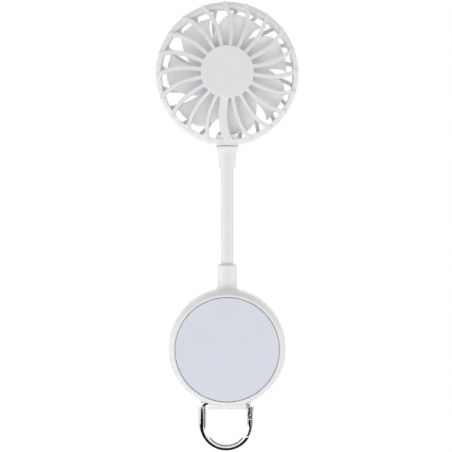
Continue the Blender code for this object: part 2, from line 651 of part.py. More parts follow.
def magnets(base, plate_finish, magnet_finish, steel_finish):
    edge = PLATE_EDGE
    profile = [(0, 0), (PLATE_RADIUS - edge, 0), (PLATE_RADIUS, edge), (PLATE_RADIUS, PLATE_THICKNESS),
               (0, PLATE_THICKNESS)]
    place("magnet_plate", turned("magnet_plate", profile), base, plate_finish)
    end = RECESS_Y + MAGNET_THICKNESS
    ring = tube("magnet_ring", MAGNET_INNER, MAGNET_OUTER, RECESS_Y, end, "Y", MAGNET_SIDES)
    place("magnet_ring", ring, base, magnet_finish)
    end = SHIELD_Y + SHIELD_THICKNESS
    shield = tube("magnet_shield", MAGNET_INNER, MAGNET_OUTER, SHIELD_Y, end, "Y", MAGNET_SIDES)
    place("magnet_shield", shield, base, steel_finish)


def electronics(base, finishes):
    outline = rounded_outline(BATTERY_WIDTH / 2, BATTERY_HEIGHT / 2, BATTERY_ROUND)
    outline = [(u, v + BATTERY_CENTRE_Z) for u, v in outline]
    rear = FLOOR_Y + GAP
    cell = extruded("battery_cell", outline, "Y", rear, rear + BATTERY_THICKNESS)
    place("battery_cell", cell, base, finishes["battery"])

    board = rod("circuit_board", BOARD_RADIUS, BOARD_REAR_Y, BOARD_FRONT_Y, "Y", 28)
    board = place("circuit_board", board, base, finishes["board"])
    inner = BOARD_RADIUS - BOARD_TONGUE_HALF
    tongue = rounded_outline((BOARD_TONGUE_REACH - inner) / 2, BOARD_TONGUE_HALF, RUN_PAST)
    tongue = [(u + (BOARD_TONGUE_REACH + inner) / 2, v) for u, v in tongue]
    tongue = extruded("board_tongue", tongue, "Y", BOARD_REAR_Y, BOARD_FRONT_Y)
    combine(board, "UNION", [tool(tongue, base)])
    hole = BOARD_SCREW_SHANK_RADIUS + GAP
    past = (BOARD_REAR_Y - RUN_PAST, BOARD_FRONT_Y + RUN_PAST)
    holes = [rod("board_hole", hole, *past, "Y", 12, spot) for spot in board_posts()]
    combine(board, "DIFFERENCE", [tool(mesh, base) for mesh in holes])

    profile = screw_profile(BOARD_REAR_Y - GAP - BOARD_SCREW_HEAD_HEIGHT, BOARD_SCREW_HEAD_RADIUS,
                            BOARD_SCREW_HEAD_HEIGHT, BOARD_SCREW_SHANK_RADIUS,
                            BOARD_SCREW_HEAD_HEIGHT + BOARD_SCREW_LENGTH - GAP)
    screws("board_screw", profile, 8, board_posts(), base, finishes["steel"])

    outer = rounded_outline(USB_HEIGHT / 2, USB_WIDTH / 2, USB_HEIGHT / 2 - GAP, 4)
    centre_y = ON_BOARD_Y + USB_HEIGHT / 2
    rear_x = USB_MOUTH_X - USB_DEPTH
    port = extruded("usb_c_socket", outer, "X", rear_x, USB_MOUTH_X)
    port = place("usb_c_socket", port, base, finishes["steel"], (0, centre_y, 0))
    hollow = rounded_outline(USB_HEIGHT / 2 - USB_SHELL, USB_WIDTH / 2 - USB_SHELL,
                             USB_HEIGHT / 2 - GAP - USB_SHELL, 4)
    hollow = extruded("usb_hollow", hollow, "X", rear_x + RUN_PAST, USB_MOUTH_X + RUN_PAST)
    combine(port, "DIFFERENCE", [tool(hollow, base, (0, centre_y, 0))])
    half = USB_TONGUE_THICKNESS / 2
    low = (rear_x + ROOTED, centre_y - half, -USB_TONGUE_WIDTH / 2)
    blade = box("usb_tongue", low, (USB_MOUTH_X - RUN_PAST, centre_y + half, USB_TONGUE_WIDTH / 2))
    combine(port, "UNION", [tool(blade, base)])

    half = LED_SIZE / 2
    top = ON_BOARD_Y + LED_HEIGHT
    led = box("indicator_led", (-half, ON_BOARD_Y, LED_Z - half), (half, top, LED_Z + half))
    place("indicator_led", led, base, finishes["led"])
    flange_front = ROOF_Y - GAP
    flange_rear = flange_front - LIGHT_PIPE_FLANGE
    profile = [(0, top + GAP), (LIGHT_PIPE_RADIUS, top + GAP), (LIGHT_PIPE_RADIUS, flange_rear),
               (LIGHT_PIPE_FLANGE_RADIUS, flange_rear), (LIGHT_PIPE_FLANGE_RADIUS, flange_front),
               (LIGHT_PIPE_RADIUS, flange_front), (LIGHT_PIPE_RADIUS, BASE_DEPTH), (0, BASE_DEPTH)]
    pipe = turned("led_light_pipe", profile, "Y", 10, (0, 0, LED_Z))
    place("led_light_pipe", pipe, base, finishes["clear"])


def button(base, finishes):
    """The power button, its plunger and the switch. The button's axis empty marks its line of travel."""
    axis = empty("button_axis", base, (0, 0, 0), "SINGLE_ARROW")
    flange_front = ROOF_Y - GAP
    flange_rear = flange_front - BUTTON_FLANGE
    face = BASE_DEPTH + BUTTON_PROUD
    roof = face - BUTTON_CROWN
    flange = BUTTON_RADIUS + BUTTON_FLANGE_WIDTH
    hollow = BUTTON_RADIUS - BUTTON_SKIRT
    profile = [(0, flange_rear), (BUTTON_STEM_RADIUS, flange_rear), (BUTTON_STEM_RADIUS, roof),
               (hollow, roof), (hollow, flange_rear), (flange, flange_rear), (flange, flange_front),
               (BUTTON_RADIUS, flange_front), (BUTTON_RADIUS, face - BUTTON_EDGE),
               (BUTTON_RADIUS - BUTTON_EDGE, face), (0, face)]
    place("power_button", turned("power_button", profile, "Y", BUTTON_SIDES), axis, finishes["plastic"])
    plunger_end = flange_rear - GAP
    plunger_start = ON_BOARD_Y + BUTTON_TRAVEL + GAP / 2
    plunger = rod("switch_plunger", PLUNGER_RADIUS, plunger_start, plunger_end, "Y", 12)
    place("switch_plunger", plunger, axis, finishes["dark"])
    half = SWITCH_WIDTH / 2
    body = box("push_switch", (-half, ON_BOARD_Y, -half), (half, ON_BOARD_Y + SWITCH_HEIGHT, half))
    body = place("push_switch", body, base, finishes["steel"])
    bore = rod("switch_bore", PLUNGER_RADIUS + GAP, BOARD_REAR_Y, ROOF_Y, "Y", 12)
    combine(body, "DIFFERENCE", [tool(bore, base)])


# Neck


def neck(base, finishes):
    """The chain of joints and links, from the base to the head. Returns the head's last joint."""
    bottom = SOCKET_FLOOR_Z + GAP
    first = SOCKET_TOP_Z + LINK_PITCH / 2
    half_space = LINK_SPACE / 2
    profile = [(LINK_BORE, bottom), (SLEEVE_RADIUS, bottom), (SLEEVE_RADIUS, bottom + FERRULE_FLANGE),
               (LINK_RADIUS, bottom + FERRULE_FLANGE), (LINK_RADIUS, first - half_space),
               (LINK_BORE, first - half_space)]
    place("neck_lower_ferrule", turned("neck_lower_ferrule", profile, "Z", LINK_SIDES), base,
          finishes["steel"], NECK_AXIS)
    sleeve_low = bottom + FERRULE_FLANGE + GAP
    sleeve_high = COLLAR_FLOOR_Z - GAP - FERRULE_FLANGE - GAP
    sleeve = tube("neck_sleeve", SLEEVE_RADIUS - SLEEVE_WALL, SLEEVE_RADIUS, sleeve_low, sleeve_high, "Z",
                  NECK_SIDES)
    place("neck_sleeve", sleeve, base, finishes["silicone"], NECK_AXIS)

    link_top = LINK_PITCH - half_space
    link_mesh = tube("neck_link", LINK_BORE, LINK_RADIUS, half_space, link_top, "Z", LINK_SIDES)
    link_mesh.materials.append(finishes["steel"])
    joint = empty("neck_joint_01", base, NECK_AXIS + Vector((0, 0, first)))
    for number in range(1, NECK_JOINTS):
        place(f"neck_link_{number:02d}", link_mesh, joint)
        joint = empty(f"neck_joint_{number + 1:02d}", joint, (0, 0, LINK_PITCH))

    last = first + LINK_PITCH * (NECK_JOINTS - 1)
    top = COLLAR_FLOOR_Z - GAP - last
    profile = [(LINK_BORE, half_space), (LINK_RADIUS, half_space), (LINK_RADIUS, top - FERRULE_FLANGE),
               (SLEEVE_RADIUS, top - FERRULE_FLANGE), (SLEEVE_RADIUS, top), (LINK_BORE, top)]
    place("neck_upper_ferrule", turned("neck_upper_ferrule", profile, "Z", LINK_SIDES), joint,
          finishes["steel"])
    return joint, last


def head_collar(head, finish):
    """The tapered collar that holds the neck's top and plugs into the head."""
    foot = COLLAR_Z - HEAD_Z
    shoulder = foot + COLLAR_STRAIGHT
    flange = shoulder + COLLAR_CONE
    top = flange + COLLAR_FLANGE
    floor = foot + COLLAR_BORE_DEPTH
    end = top + STEM_LENGTH
    edge = (COLLAR_FLANGE_RADIUS - COLLAR_RADIUS) / 4
    profile = [(NECK_BORE, foot), (COLLAR_RADIUS, foot), (COLLAR_RADIUS, shoulder),
               (COLLAR_RADIUS + edge, shoulder + COLLAR_CONE / 2), (COLLAR_FLANGE_RADIUS, flange),
               (COLLAR_FLANGE_RADIUS, top), (STEM_RADIUS, top), (STEM_RADIUS, end - STEM_RIM),
               (STEM_RIM_RADIUS, end - STEM_RIM), (STEM_RIM_RADIUS, end), (STEM_BORE, end),
               (STEM_BORE, floor), (NECK_BORE, floor)]
    place("head_collar", turned("head_collar", profile, "Z", NECK_SIDES), head, finish, NECK_AXIS)


# Guards


def spoke_angle(radius, start, sense):
    """The spokes leave the disc leaning back a little and then swirl forward."""
    t = (radius - DISC_RADIUS) / (RING_RADIUS - SPOKE_RIM_INSET - DISC_RADIUS)
    return start + sense * (SPOKE_SWEEP * t * t - SPOKE_DIP * t)


def spoke_rear(radius):
    return SPOKE_REAR_Y + SPOKE_SLOPE * (radius - DISC_RADIUS)


def spoke_point(radius, start, sense):
    return polar(radius, spoke_angle(radius, start, sense), 0.0)


def spoke(name, start, sense, width, radii, near, far):
    """A swirling bar with its sections on circles. near and far give its edges' Y at a radius."""
    rings = []
    for radius in radii:
        angle = spoke_angle(radius, start, sense)
        turn = math.radians(spoke_angle(radius + MERGE, start, sense) - angle) / MERGE
        half = math.degrees(width / 2 / radius * math.hypot(1.0, radius * turn))
        edges = [(angle - half, near), (angle + half, near), (angle + half, far), (angle - half, far)]
        rings.append([polar(radius, edge_angle, edge(radius)) for edge_angle, edge in edges])
    return skin(name, rings)


def stations(low, high, count):
    return [low + (high - low) * index / (count - 1) for index in range(count)]


def boss_box(name, rear, front):
    bottom = -RING_RADIUS - BOSS_DROP
    half = BOSS_WIDTH / 2
    return box(name, (-half, rear, bottom), (half, front, bottom + BOSS_HEIGHT))


def stem_cutters(head, side):
    """The bore and the wider chamber that hold the collar's stem by its rim."""
    foot = -RING_RADIUS - BOSS_DROP
    rim_z = foot + STEM_LENGTH - STEM_RIM - 2 * GAP
    top = foot + BOSS_HEIGHT + GAP
    bore = rod(f"{side}_stem_bore", STEM_RADIUS + GAP, foot - RUN_PAST, top, "Z", NECK_SIDES, NECK_AXIS)
    chamber = rod(f"{side}_stem_chamber", STEM_RIM_RADIUS + GAP, rim_z, top, "Z", NECK_SIDES, NECK_AXIS)
    return [tool(bore, head), tool(chamber, head)]


def rear_guard(head, finish):
    inner, outer = REAR_RING_INNER, RING_RADIUS
    lap = FRONT_RING_INNER + LIP_WALL + GAP
    lap_y = RING_SEAM_Y - GAP / 2 - LIP_LENGTH
    front = RING_SEAM_Y - GAP / 2
    corner = REAR_RING_Y + RING_FALL
    profile = [(inner, REAR_RING_Y), (outer - RING_CORNER, corner), (outer, corner + RING_CHAMFER),
               (outer, front), (lap, front), (lap, lap_y), (inner, lap_y)]
    guard = place("rear_guard", turned("rear_guard", profile, "Y", RING_SIDES), head, finish)

    cup_inner = MOTOR_RADIUS + GAP
    cup_outer = cup_inner + MOTOR_CUP_WALL
    cup_end = DISC_FRONT_Y + MOTOR_CUP_DEPTH
    edge = DISC_EDGE
    profile = [(0, REAR_DISC_Y), (DISC_RADIUS - edge, REAR_DISC_Y), (DISC_RADIUS, REAR_DISC_Y + edge),
               (DISC_RADIUS, DISC_FRONT_Y), (cup_outer, DISC_FRONT_Y), (cup_outer, cup_end),
               (cup_inner, cup_end), (cup_inner, DISC_FRONT_Y), (0, DISC_FRONT_Y)]
    parts = [turned("rear_disc", profile, "Y", DISC_SIDES)]
    root = DISC_RADIUS - SPOKE_ROOT
    for number in range(SPOKE_COUNT):
        wide = number == CABLE_SPOKE
        width = CABLE_SPOKE_WIDTH if wide else SPOKE_WIDTH
        depth = CABLE_SPOKE_DEPTH if wide else SPOKE_DEPTH
        end = RING_RADIUS - SPOKE_RIM_INSET if wide else RING_RADIUS - SPOKE_END_INSET
        radii = stations(root, end, SPOKE_STATIONS)
        start = SPOKE_FIRST_ANGLE + 360.0 * number / SPOKE_COUNT
        parts.append(spoke(f"rear_spoke_{number:02d}", start, 1, width, radii,
                           spoke_rear, lambda radius, depth=depth: spoke_rear(radius) + depth))
    parts.append(boss_box("rear_boss_block", BOSS_REAR_Y, SEAM_Y - GAP / 2))
    combine(guard, "UNION", [tool(mesh, head) for mesh in parts])

    cuts = stem_cutters(head, "rear")
    start = SPOKE_FIRST_ANGLE + 360.0 * CABLE_SPOKE / SPOKE_COUNT
    floor_low = DISC_FRONT_Y - CABLE_CHANNEL_BITE
    channel_radii = stations(MOTOR_RADIUS - RUN_PAST, REAR_RING_INNER - SPOKE_END_INSET, SPOKE_STATIONS + 2)
    channel = spoke("cable_channel", start, 1, CABLE_CHANNEL_WIDTH, channel_radii,
                    lambda radius: max(spoke_rear(radius) + CABLE_CHANNEL_SKIN, floor_low),
                    lambda radius: DISC_FRONT_Y + MOTOR_CUP_DEPTH + RUN_PAST)
    foot = -RING_RADIUS - BOSS_DROP
    half_slot = BOSS_SLOT_WIDTH / 2
    slot_rear = spoke_rear(REAR_RING_INNER) + CABLE_CHANNEL_SKIN
    slot = box("cable_slot", (-half_slot, slot_rear, foot + STEM_LENGTH + CABLE_CHANNEL_BITE),
               (half_slot, SEAM_Y, foot + BOSS_HEIGHT + GAP))
    half = BOSS_WIDTH / 2 + GAP
    past = (half, RING_SEAM_Y + RUN_PAST, foot + BOSS_HEIGHT + RUN_PAST)
    room = box("front_boss_room", (-half, SEAM_Y - GAP / 2, foot - RUN_PAST), past)
    combine(guard, "DIFFERENCE", cuts + [tool(mesh, head) for mesh in (channel, slot, room)])


def front_guard(head, finish):
    inner, outer = FRONT_RING_INNER, RING_RADIUS
    lip = FRONT_RING_INNER + LIP_WALL
    rear = RING_SEAM_Y + GAP / 2
    lip_y = RING_SEAM_Y - LIP_LENGTH + GAP / 2
    corner = FRONT_RING_Y - RING_FALL + GAP
    profile = [(inner, lip_y), (lip, lip_y), (lip, rear), (outer, rear), (outer, corner - RING_CHAMFER),
               (outer - RING_CORNER, corner), (inner + FRONT_RING_FLARE, FRONT_RING_Y)]
    guard = place("front_guard", turned("front_guard", profile, "Y", RING_SIDES), head, finish)

    face = 2 * SEAM_Y - REAR_DISC_Y
    back = face - DISC_THICKNESS
    edge = DISC_EDGE
    profile = [(0, back), (DISC_RADIUS, back), (DISC_RADIUS, face - edge), (DISC_RADIUS - edge, face),
               (0, face)]
    parts = [turned("front_disc", profile, "Y", DISC_SIDES)]
    radii = stations(DISC_RADIUS - SPOKE_ROOT, RING_RADIUS - SPOKE_END_INSET, SPOKE_STATIONS)
    for number in range(SPOKE_COUNT):
        start = FRONT_SPOKE_FIRST_ANGLE + 360.0 * number / SPOKE_COUNT
        parts.append(spoke(f"front_spoke_{number:02d}", start, -1, SPOKE_WIDTH, radii,
                           lambda radius: 2 * SEAM_Y - spoke_rear(radius) - SPOKE_DEPTH,
                           lambda radius: 2 * SEAM_Y - spoke_rear(radius)))
    parts.append(boss_box("front_boss_block", SEAM_Y + GAP / 2, 2 * SEAM_Y - BOSS_REAR_Y))
    combine(guard, "UNION", [tool(mesh, head) for mesh in parts])
    foot = -RING_RADIUS - BOSS_DROP
    half = BOSS_WIDTH / 2 + GAP
    past = (half, SEAM_Y + GAP / 2, foot + BOSS_HEIGHT + RUN_PAST)
    room = box("rear_boss_room", (-half, SEAM_Y - LIP_LENGTH, foot - RUN_PAST), past)
    combine(guard, "DIFFERENCE", stem_cutters(head, "front") + [tool(room, head)])


# Motor and impeller


def motor(head, rotor, finishes):
    cap_end = MOTOR_REAR_Y + MOTOR_CAP_THICKNESS
    cap = tube("motor_end_cap", SHAFT_BORE, MOTOR_RADIUS, MOTOR_REAR_Y, cap_end, "Y", MOTOR_SIDES)
    place("motor_end_cap", cap, head, finishes["dark"])
    inner = MOTOR_RADIUS - MOTOR_CAN_WALL
    front_inner = CAN_FRONT_Y - MOTOR_CAN_WALL
    bush_seat = BUSH_RADIUS + GAP
    nose = MOTOR_NOSE_RADIUS + GAP
    can = [(inner, CAN_REAR_Y), (MOTOR_RADIUS, CAN_REAR_Y), (MOTOR_RADIUS, CAN_FRONT_Y), (nose, CAN_FRONT_Y),
           (nose, CAN_FRONT_Y + MOTOR_NOSE), (bush_seat, CAN_FRONT_Y + MOTOR_NOSE),
           (bush_seat, front_inner), (inner, front_inner)]
    place("motor_can", turned("motor_can", can, "Y", MOTOR_SIDES), head, finishes["steel"])
    bush_end = CAN_FRONT_Y + MOTOR_NOSE
    bush = tube("motor_bush", SHAFT_BORE, BUSH_RADIUS, bush_end - BUSH_LENGTH, bush_end, "Y", 20)
    place("motor_bush", bush, head, finishes["bronze"])
    magnet_outer = inner - GAP
    magnet_rear = front_inner - GAP - MOTOR_MAGNET_LENGTH
    magnet = tube("motor_field_magnet", magnet_outer - MOTOR_MAGNET_WALL, magnet_outer, magnet_rear,
                  magnet_rear + MOTOR_MAGNET_LENGTH, "Y", MOTOR_SIDES)
    place("motor_field_magnet", magnet, head, finishes["dark"])

    shaft = rod("motor_shaft", SHAFT_RADIUS, MOTOR_REAR_Y + GAP, HUB_FRONT_Y - GAP, "Y", 14)
    place("motor_shaft", shaft, rotor, finishes["steel"])
    rear = magnet_rear + GAP
    front = min(rear + ARMATURE_LENGTH, bush_end - BUSH_LENGTH - GAP)
    core = tube("motor_armature", SHAFT_BORE, ARMATURE_HUB_RADIUS, rear, front, "Y", 18)
    core = place("motor_armature", core, rotor, finishes["copper"])
    poles = []
    for number in range(ARMATURE_POLES):
        centre = 360.0 * number / ARMATURE_POLES
        waist = ARMATURE_RADIUS - ARMATURE_SHOE
        angles = stations(centre - ARMATURE_SHOE_SPAN / 2, centre + ARMATURE_SHOE_SPAN / 2, 5)
        rim = [polar(ARMATURE_RADIUS, angle, 0) for angle in angles]
        under = [polar(waist, angle, 0) for angle in reversed(angles)]
        along = polar(1.0, centre, 0)
        across = Vector((-along.z, 0, along.x)) * ARMATURE_ARM / 2
        foot = along * (ARMATURE_HUB_RADIUS - ROOTED)
        elbow = along * waist * math.cos(math.asin(ARMATURE_ARM / 2 / waist))
        arm = [elbow + across, foot + across, foot - across, elbow - across]
        outline = rim + under[:2] + arm + under[3:]
        poles.append(extruded("armature_pole", [(point.x, point.z) for point in outline], "Y", rear, front))
    combine(core, "UNION", [tool(mesh, rotor) for mesh in poles])


def blade(name, tip_angle):
    """One swept blade: sections on cylinders about the fan's axis, pitched from trailing to leading edge."""
    root = HUB_RADIUS - HUB_WALL / 2
    corner_start = BLADE_TIP_RADIUS - BLADE_CORNER
    radii = stations(root, corner_start, BLADE_STATIONS)
    radii += [BLADE_TIP_RADIUS - BLADE_CORNER * share for share in (0.5, 0.2, 0.0)]
    chord = [index / BLADE_CHORD_STEPS for index in range(BLADE_CHORD_STEPS + 1)]
    rings = []
    for radius in radii:
        inward = BLADE_TIP_RADIUS - radius
        share = (radius - root) / (BLADE_TIP_RADIUS - root)
        thickness = BLADE_ROOT_THICKNESS + (BLADE_TIP_THICKNESS - BLADE_ROOT_THICKNESS) * share
        into = max(0.0, radius - corner_start)
        trim = BLADE_CORNER - math.sqrt(max(0.0, BLADE_CORNER ** 2 - into ** 2))
        turned_in = BLADE_HEEL_TURN * (1 - math.exp(-inward / BLADE_HEEL_REACH))
        trailing = tip_angle - BLADE_HALF_ANGLE + turned_in
        leading = tip_angle + BLADE_HALF_ANGLE + BLADE_SWEEP_RATE * inward - math.degrees(trim / radius)
        upper, lower = [], []
        for s in chord:
            angle = trailing + (leading - trailing) * s
            y = BLADE_TRAIL_Y + (BLADE_LEAD_Y - BLADE_TRAIL_Y) * s - 4 * BLADE_CAMBER * s * (1 - s)
            half = thickness / 2 * (BLADE_TRAIL_SHARE + BLADE_LEAD_SHARE * s + BLADE_BELLY * s * (1 - s))
            upper.append(polar(radius, angle, y + half))
            lower.append(polar(radius, angle, y - half))
        rings.append(upper + lower[::-1])
    return skin(name, rings)


def impeller(rotor, finish):
    face_back = HUB_FRONT_Y - HUB_FACE
    inner = HUB_RADIUS - HUB_WALL
    boss_end = face_back - HUB_BOSS_LENGTH
    profile = [(SHAFT_BORE, boss_end), (HUB_BOSS_RADIUS, boss_end), (HUB_BOSS_RADIUS, face_back),
               (inner, face_back), (inner, HUB_REAR_Y), (HUB_RADIUS, HUB_REAR_Y),
               (HUB_RADIUS, HUB_FRONT_Y - HUB_EDGE), (HUB_RADIUS - HUB_EDGE, HUB_FRONT_Y),
               (SHAFT_BORE, HUB_FRONT_Y)]
    wheel = place("impeller", turned("impeller", profile, "Y", DISC_SIDES), rotor, finish)
    angles = [BLADE_FIRST_ANGLE + 360.0 * number / BLADE_COUNT for number in range(BLADE_COUNT)]
    blades = [blade(f"blade_{number:02d}", angle) for number, angle in enumerate(angles)]
    combine(wheel, "UNION", [tool(mesh, rotor) for mesh in blades])


# Motor cable


def smooth_route(points, spacing):
    """Even points on a smooth curve through the route's own points."""
    points = [Vector(point) for point in points]
    ends = [points[0] * 2 - points[1]] + points + [points[-1] * 2 - points[-2]]
    dense = []
    for a, b, c, d in zip(ends, ends[1:], ends[2:], ends[3:]):
        for step in range(12):
            t = step / 12
            dense.append(((b * 2) + (c - a) * t + (a * 2 - b * 5 + c * 4 - d) * t ** 2
                          + (b * 3 - a - c * 3 + d) * t ** 3) / 2)
    dense.append(points[-1])
    length = sum((q - p).length for p, q in zip(dense, dense[1:]))
    count = max(2, round(length / spacing))
    even, walked, target = [dense[0]], 0.0, length / count
    for p, q in zip(dense, dense[1:]):
        step = (q - p).length
        while walked + step >= target and len(even) < count:
            even.append(p.lerp(q, (target - walked) / step))
            target += length / count
        walked += step
    return even + [dense[-1]]


def motor_cable(base, finish):
    """The motor's cable: up the neck, over the collar's stem and down the wide spoke to the motor."""
    behind_board = BOARD_REAR_Y - GAP - CABLE_RADIUS
    foot = HEAD_Z - RING_RADIUS - BOSS_DROP
    route = [(0, behind_board, CABLE_TAIL_LOW_Z), (0, behind_board, CABLE_TAIL_HIGH_Z),
             (0, SEAM_Y, CABLE_STRAIGHT_Z), (0, SEAM_Y, SOCKET_TOP_Z), (0, SEAM_Y, COLLAR_Z)]
    bend = arc((SEAM_Y - CABLE_BEND_Y, foot + CABLE_BEND_RISE), (CABLE_BEND_Y, CABLE_BEND_Z), 0, 90, 4)
    route += [(0, y, z) for y, z in bend]
    start = SPOKE_FIRST_ANGLE + 360.0 * CABLE_SPOKE / SPOKE_COUNT
    lift = CABLE_CHANNEL_SKIN + GAP + CABLE_RADIUS
    centre = Vector((0, 0, HEAD_Z))
    outer_end = RING_RADIUS + BOSS_DROP - BOSS_HEIGHT - GAP
    for radius in stations(outer_end, MOTOR_RADIUS + GAP, 9):
        y = max(spoke_rear(radius) + lift, DISC_FRONT_Y + GAP + CABLE_RADIUS)
        route.append(centre + spoke_point(radius, start, 1) + Vector((0, y, 0)))
    points = smooth_route(route, CABLE_SPACING)
    curve = bpy.data.curves.new("motor_cable", "CURVE")
    curve.dimensions = "3D"
    spline = curve.splines.new("POLY")
    spline.points.add(len(points) - 1)
    for spot, point in zip(spline.points, points):
        spot.co = (*point, 1.0)
    curve.bevel_depth = CABLE_RADIUS
    curve.bevel_resolution = 2
    curve.use_fill_caps = True
    curve.materials.append(finish)
    place("motor_cable", curve, base)


# Clip


def wire_mesh(name, centres, radius, sides, round_start=False):
    """A round wire along points in the XZ plane, optionally with a domed start."""
    centres = [Vector(point) for point in centres]
    rings = []
    for index, centre in enumerate(centres):
        ahead = centres[min(index + 1, len(centres) - 1)] - centres[max(index - 1, 0)]
        ahead.normalize()
        side = Vector((ahead.z, 0, -ahead.x))
        turns = [math.tau * step / sides for step in range(sides)]
        if round_start and index == 0:
            for dome in (10, 38, 64):
                back = math.radians(dome)
                small = radius * math.sin(back)
                middle = centre - ahead * radius * math.cos(back)
                rings.append([middle + side * small * math.cos(a) + Vector((0, small * math.sin(a), 0))
                              for a in turns])
        rings.append([centre + (side * math.cos(a) + Vector((0, math.sin(a), 0))) * radius for a in turns])
    return skin(name, rings)


def flat_arc(centre_x, centre_z, radius, start, end, steps):
    return [(x, 0, z) for x, z in arc((centre_x, centre_z), (radius, radius), start, end, steps)]


def clip(base, finishes):
    """The hook, its gate pin and spring, and the gate. Both axes are empties at their joints."""
    axis = empty("clip_axis", base, (CLIP_REST_X, SEAM_Y, BAR_Z))
    half, corner = CLIP_HALF_WIDTH, CLIP_CORNER
    pin_z = -GATE_PIN_DROP
    split = -GATE_SPLIT_DROP
    drop = -CLIP_LEG
    split_angle = turn_for((drop - split) / half)
    path = [(half, 0, pin_z), (half, 0, (pin_z - corner) / 2)]
    path += flat_arc(half - corner, -corner, corner, 0, 90, 4)
    path += flat_arc(corner - half, -corner, corner, 90, 180, 4)
    path += flat_arc(0, drop, half, 180, 360 - split_angle + CLIP_OVERRUN, 14)
    hook = place("carabiner_hook", wire_mesh("carabiner_hook", path, CLIP_WIRE, CLIP_SIDES, True), axis,
                 finishes["chrome"])
    slot_half = GATE_TONGUE / 2 + GAP
    slot_top = pin_z + GATE_TONGUE_RADIUS + GATE_SLOT_ROOM
    wide = 2 * CLIP_WIRE
    slot = box("gate_slot", (half - wide, -slot_half, pin_z - wide), (half + wide, slot_half, slot_top))
    nose = box("nose_cut", (half / 2, -wide, split - GAP / 2), (half + wide, wide, drop))
    pin_hole = rod("pin_hole", GATE_PIN_RADIUS + GAP, -wide, wide, "Y", 12, (half, 0, pin_z))
    spring_top = slot_top + SPRING_LENGTH
    spring_room = SPRING_RADIUS + SPRING_WIRE + GAP / 2
    spring_bore = rod("spring_bore", spring_room, slot_top - ROOTED, spring_top, "Z", 10, (half, 0, 0))
    combine(hook, "DIFFERENCE", [tool(mesh, axis) for mesh in (slot, nose, pin_hole, spring_bore)])
    reach = CLIP_WIRE - GATE_PIN_INSET
    pin = rod("gate_pin", GATE_PIN_RADIUS, -reach, reach, "Y", 12, (half, 0, pin_z))
    place("gate_pin", pin, axis, finishes["chrome"])

    spring = bpy.data.curves.new("gate_spring", "CURVE")
    spring.dimensions = "3D"
    coil = spring.splines.new("POLY")
    count = SPRING_TURNS * SPRING_TURN_STEPS
    coil.points.add(count)
    spring_low = slot_top - GAP + SPRING_WIRE
    rise = SPRING_LENGTH - 2 * SPRING_WIRE
    for index, spot in enumerate(coil.points):
        turn = math.tau * index / SPRING_TURN_STEPS
        spot.co = (half + SPRING_RADIUS * math.cos(turn), SPRING_RADIUS * math.sin(turn),
                   spring_low + rise * index / count, 1.0)
    spring.bevel_depth = SPRING_WIRE
    spring.bevel_resolution = 1
    spring.use_fill_caps = True
    spring.materials.append(finishes["steel"])
    place("gate_spring", spring, axis)

    pivot = empty("gate_axis", axis, (half, 0, pin_z))
    shoulder = -GATE_SHOULDER
    path = [(0, 0, shoulder), (0, 0, drop - pin_z)]
    path += flat_arc(-half, drop - pin_z, half, 0, -split_angle - CLIP_OVERRUN, 7)[1:]
    gate = place("carabiner_gate", wire_mesh("carabiner_gate", path, GATE_WIRE, CLIP_SIDES), pivot,
                 finishes["chrome"])
    tip = box("gate_tip_cut", (-half, -wide, split - pin_z - wide), (wide, wide, split - pin_z + GAP / 2))
    combine(gate, "DIFFERENCE", [tool(tip, pivot)])
    flat = GATE_TONGUE / 2
    eye = rod("tongue_eye", GATE_TONGUE_RADIUS, -flat, flat, "Y", 16)
    strap_half = GATE_TONGUE_RADIUS - ROOTED
    strap = box("tongue_strap", (-strap_half, -flat, shoulder - RUN_PAST), (strap_half, flat, 0))
    combine(gate, "UNION", [tool(eye, pivot), tool(strap, pivot)])
    bore = rod("tongue_bore", GATE_PIN_RADIUS + GAP, -wide, wide, "Y", 12)
    combine(gate, "DIFFERENCE", [tool(bore, pivot)])


def finish_set():
    """One material for each kind of surface, under the names that the pieces use."""
    return {
        "plastic": material("white_plastic", (0.86, 0.86, 0.87), 0.42),
        "guard": material("guard_plastic", (0.84, 0.84, 0.86), 0.45),
        "blade": material("blade_plastic", (0.74, 0.75, 0.78), 0.40),
        "plate": material("plate_gloss", (0.66, 0.70, 0.79), 0.12),
        "magnet": material("magnet_nickel", (0.45, 0.45, 0.47), 0.35, 1.0),
        "steel": material("plain_steel", (0.60, 0.60, 0.62), 0.35, 1.0),
        "battery": material("battery_foil", (0.55, 0.58, 0.62), 0.40, 0.8),
        "board": material("board_green", (0.04, 0.22, 0.10), 0.45),
        "led": material("led_body", (0.90, 0.90, 0.82), 0.30),
        "clear": material("light_pipe_clear", (0.88, 0.90, 0.92), 0.15),
        "dark": material("dark_plastic", (0.05, 0.05, 0.05), 0.50),
        "silicone": material("neck_silicone", (0.86, 0.86, 0.87), 0.60),
        "bronze": material("bush_bronze", (0.50, 0.33, 0.16), 0.40, 1.0),
        "copper": material("winding_copper", (0.62, 0.30, 0.16), 0.35, 1.0),
        "cable": material("cable_white", (0.82, 0.82, 0.80), 0.50),
        "chrome": material("chrome", (0.72, 0.71, 0.69), 0.10, 1.0),
    }


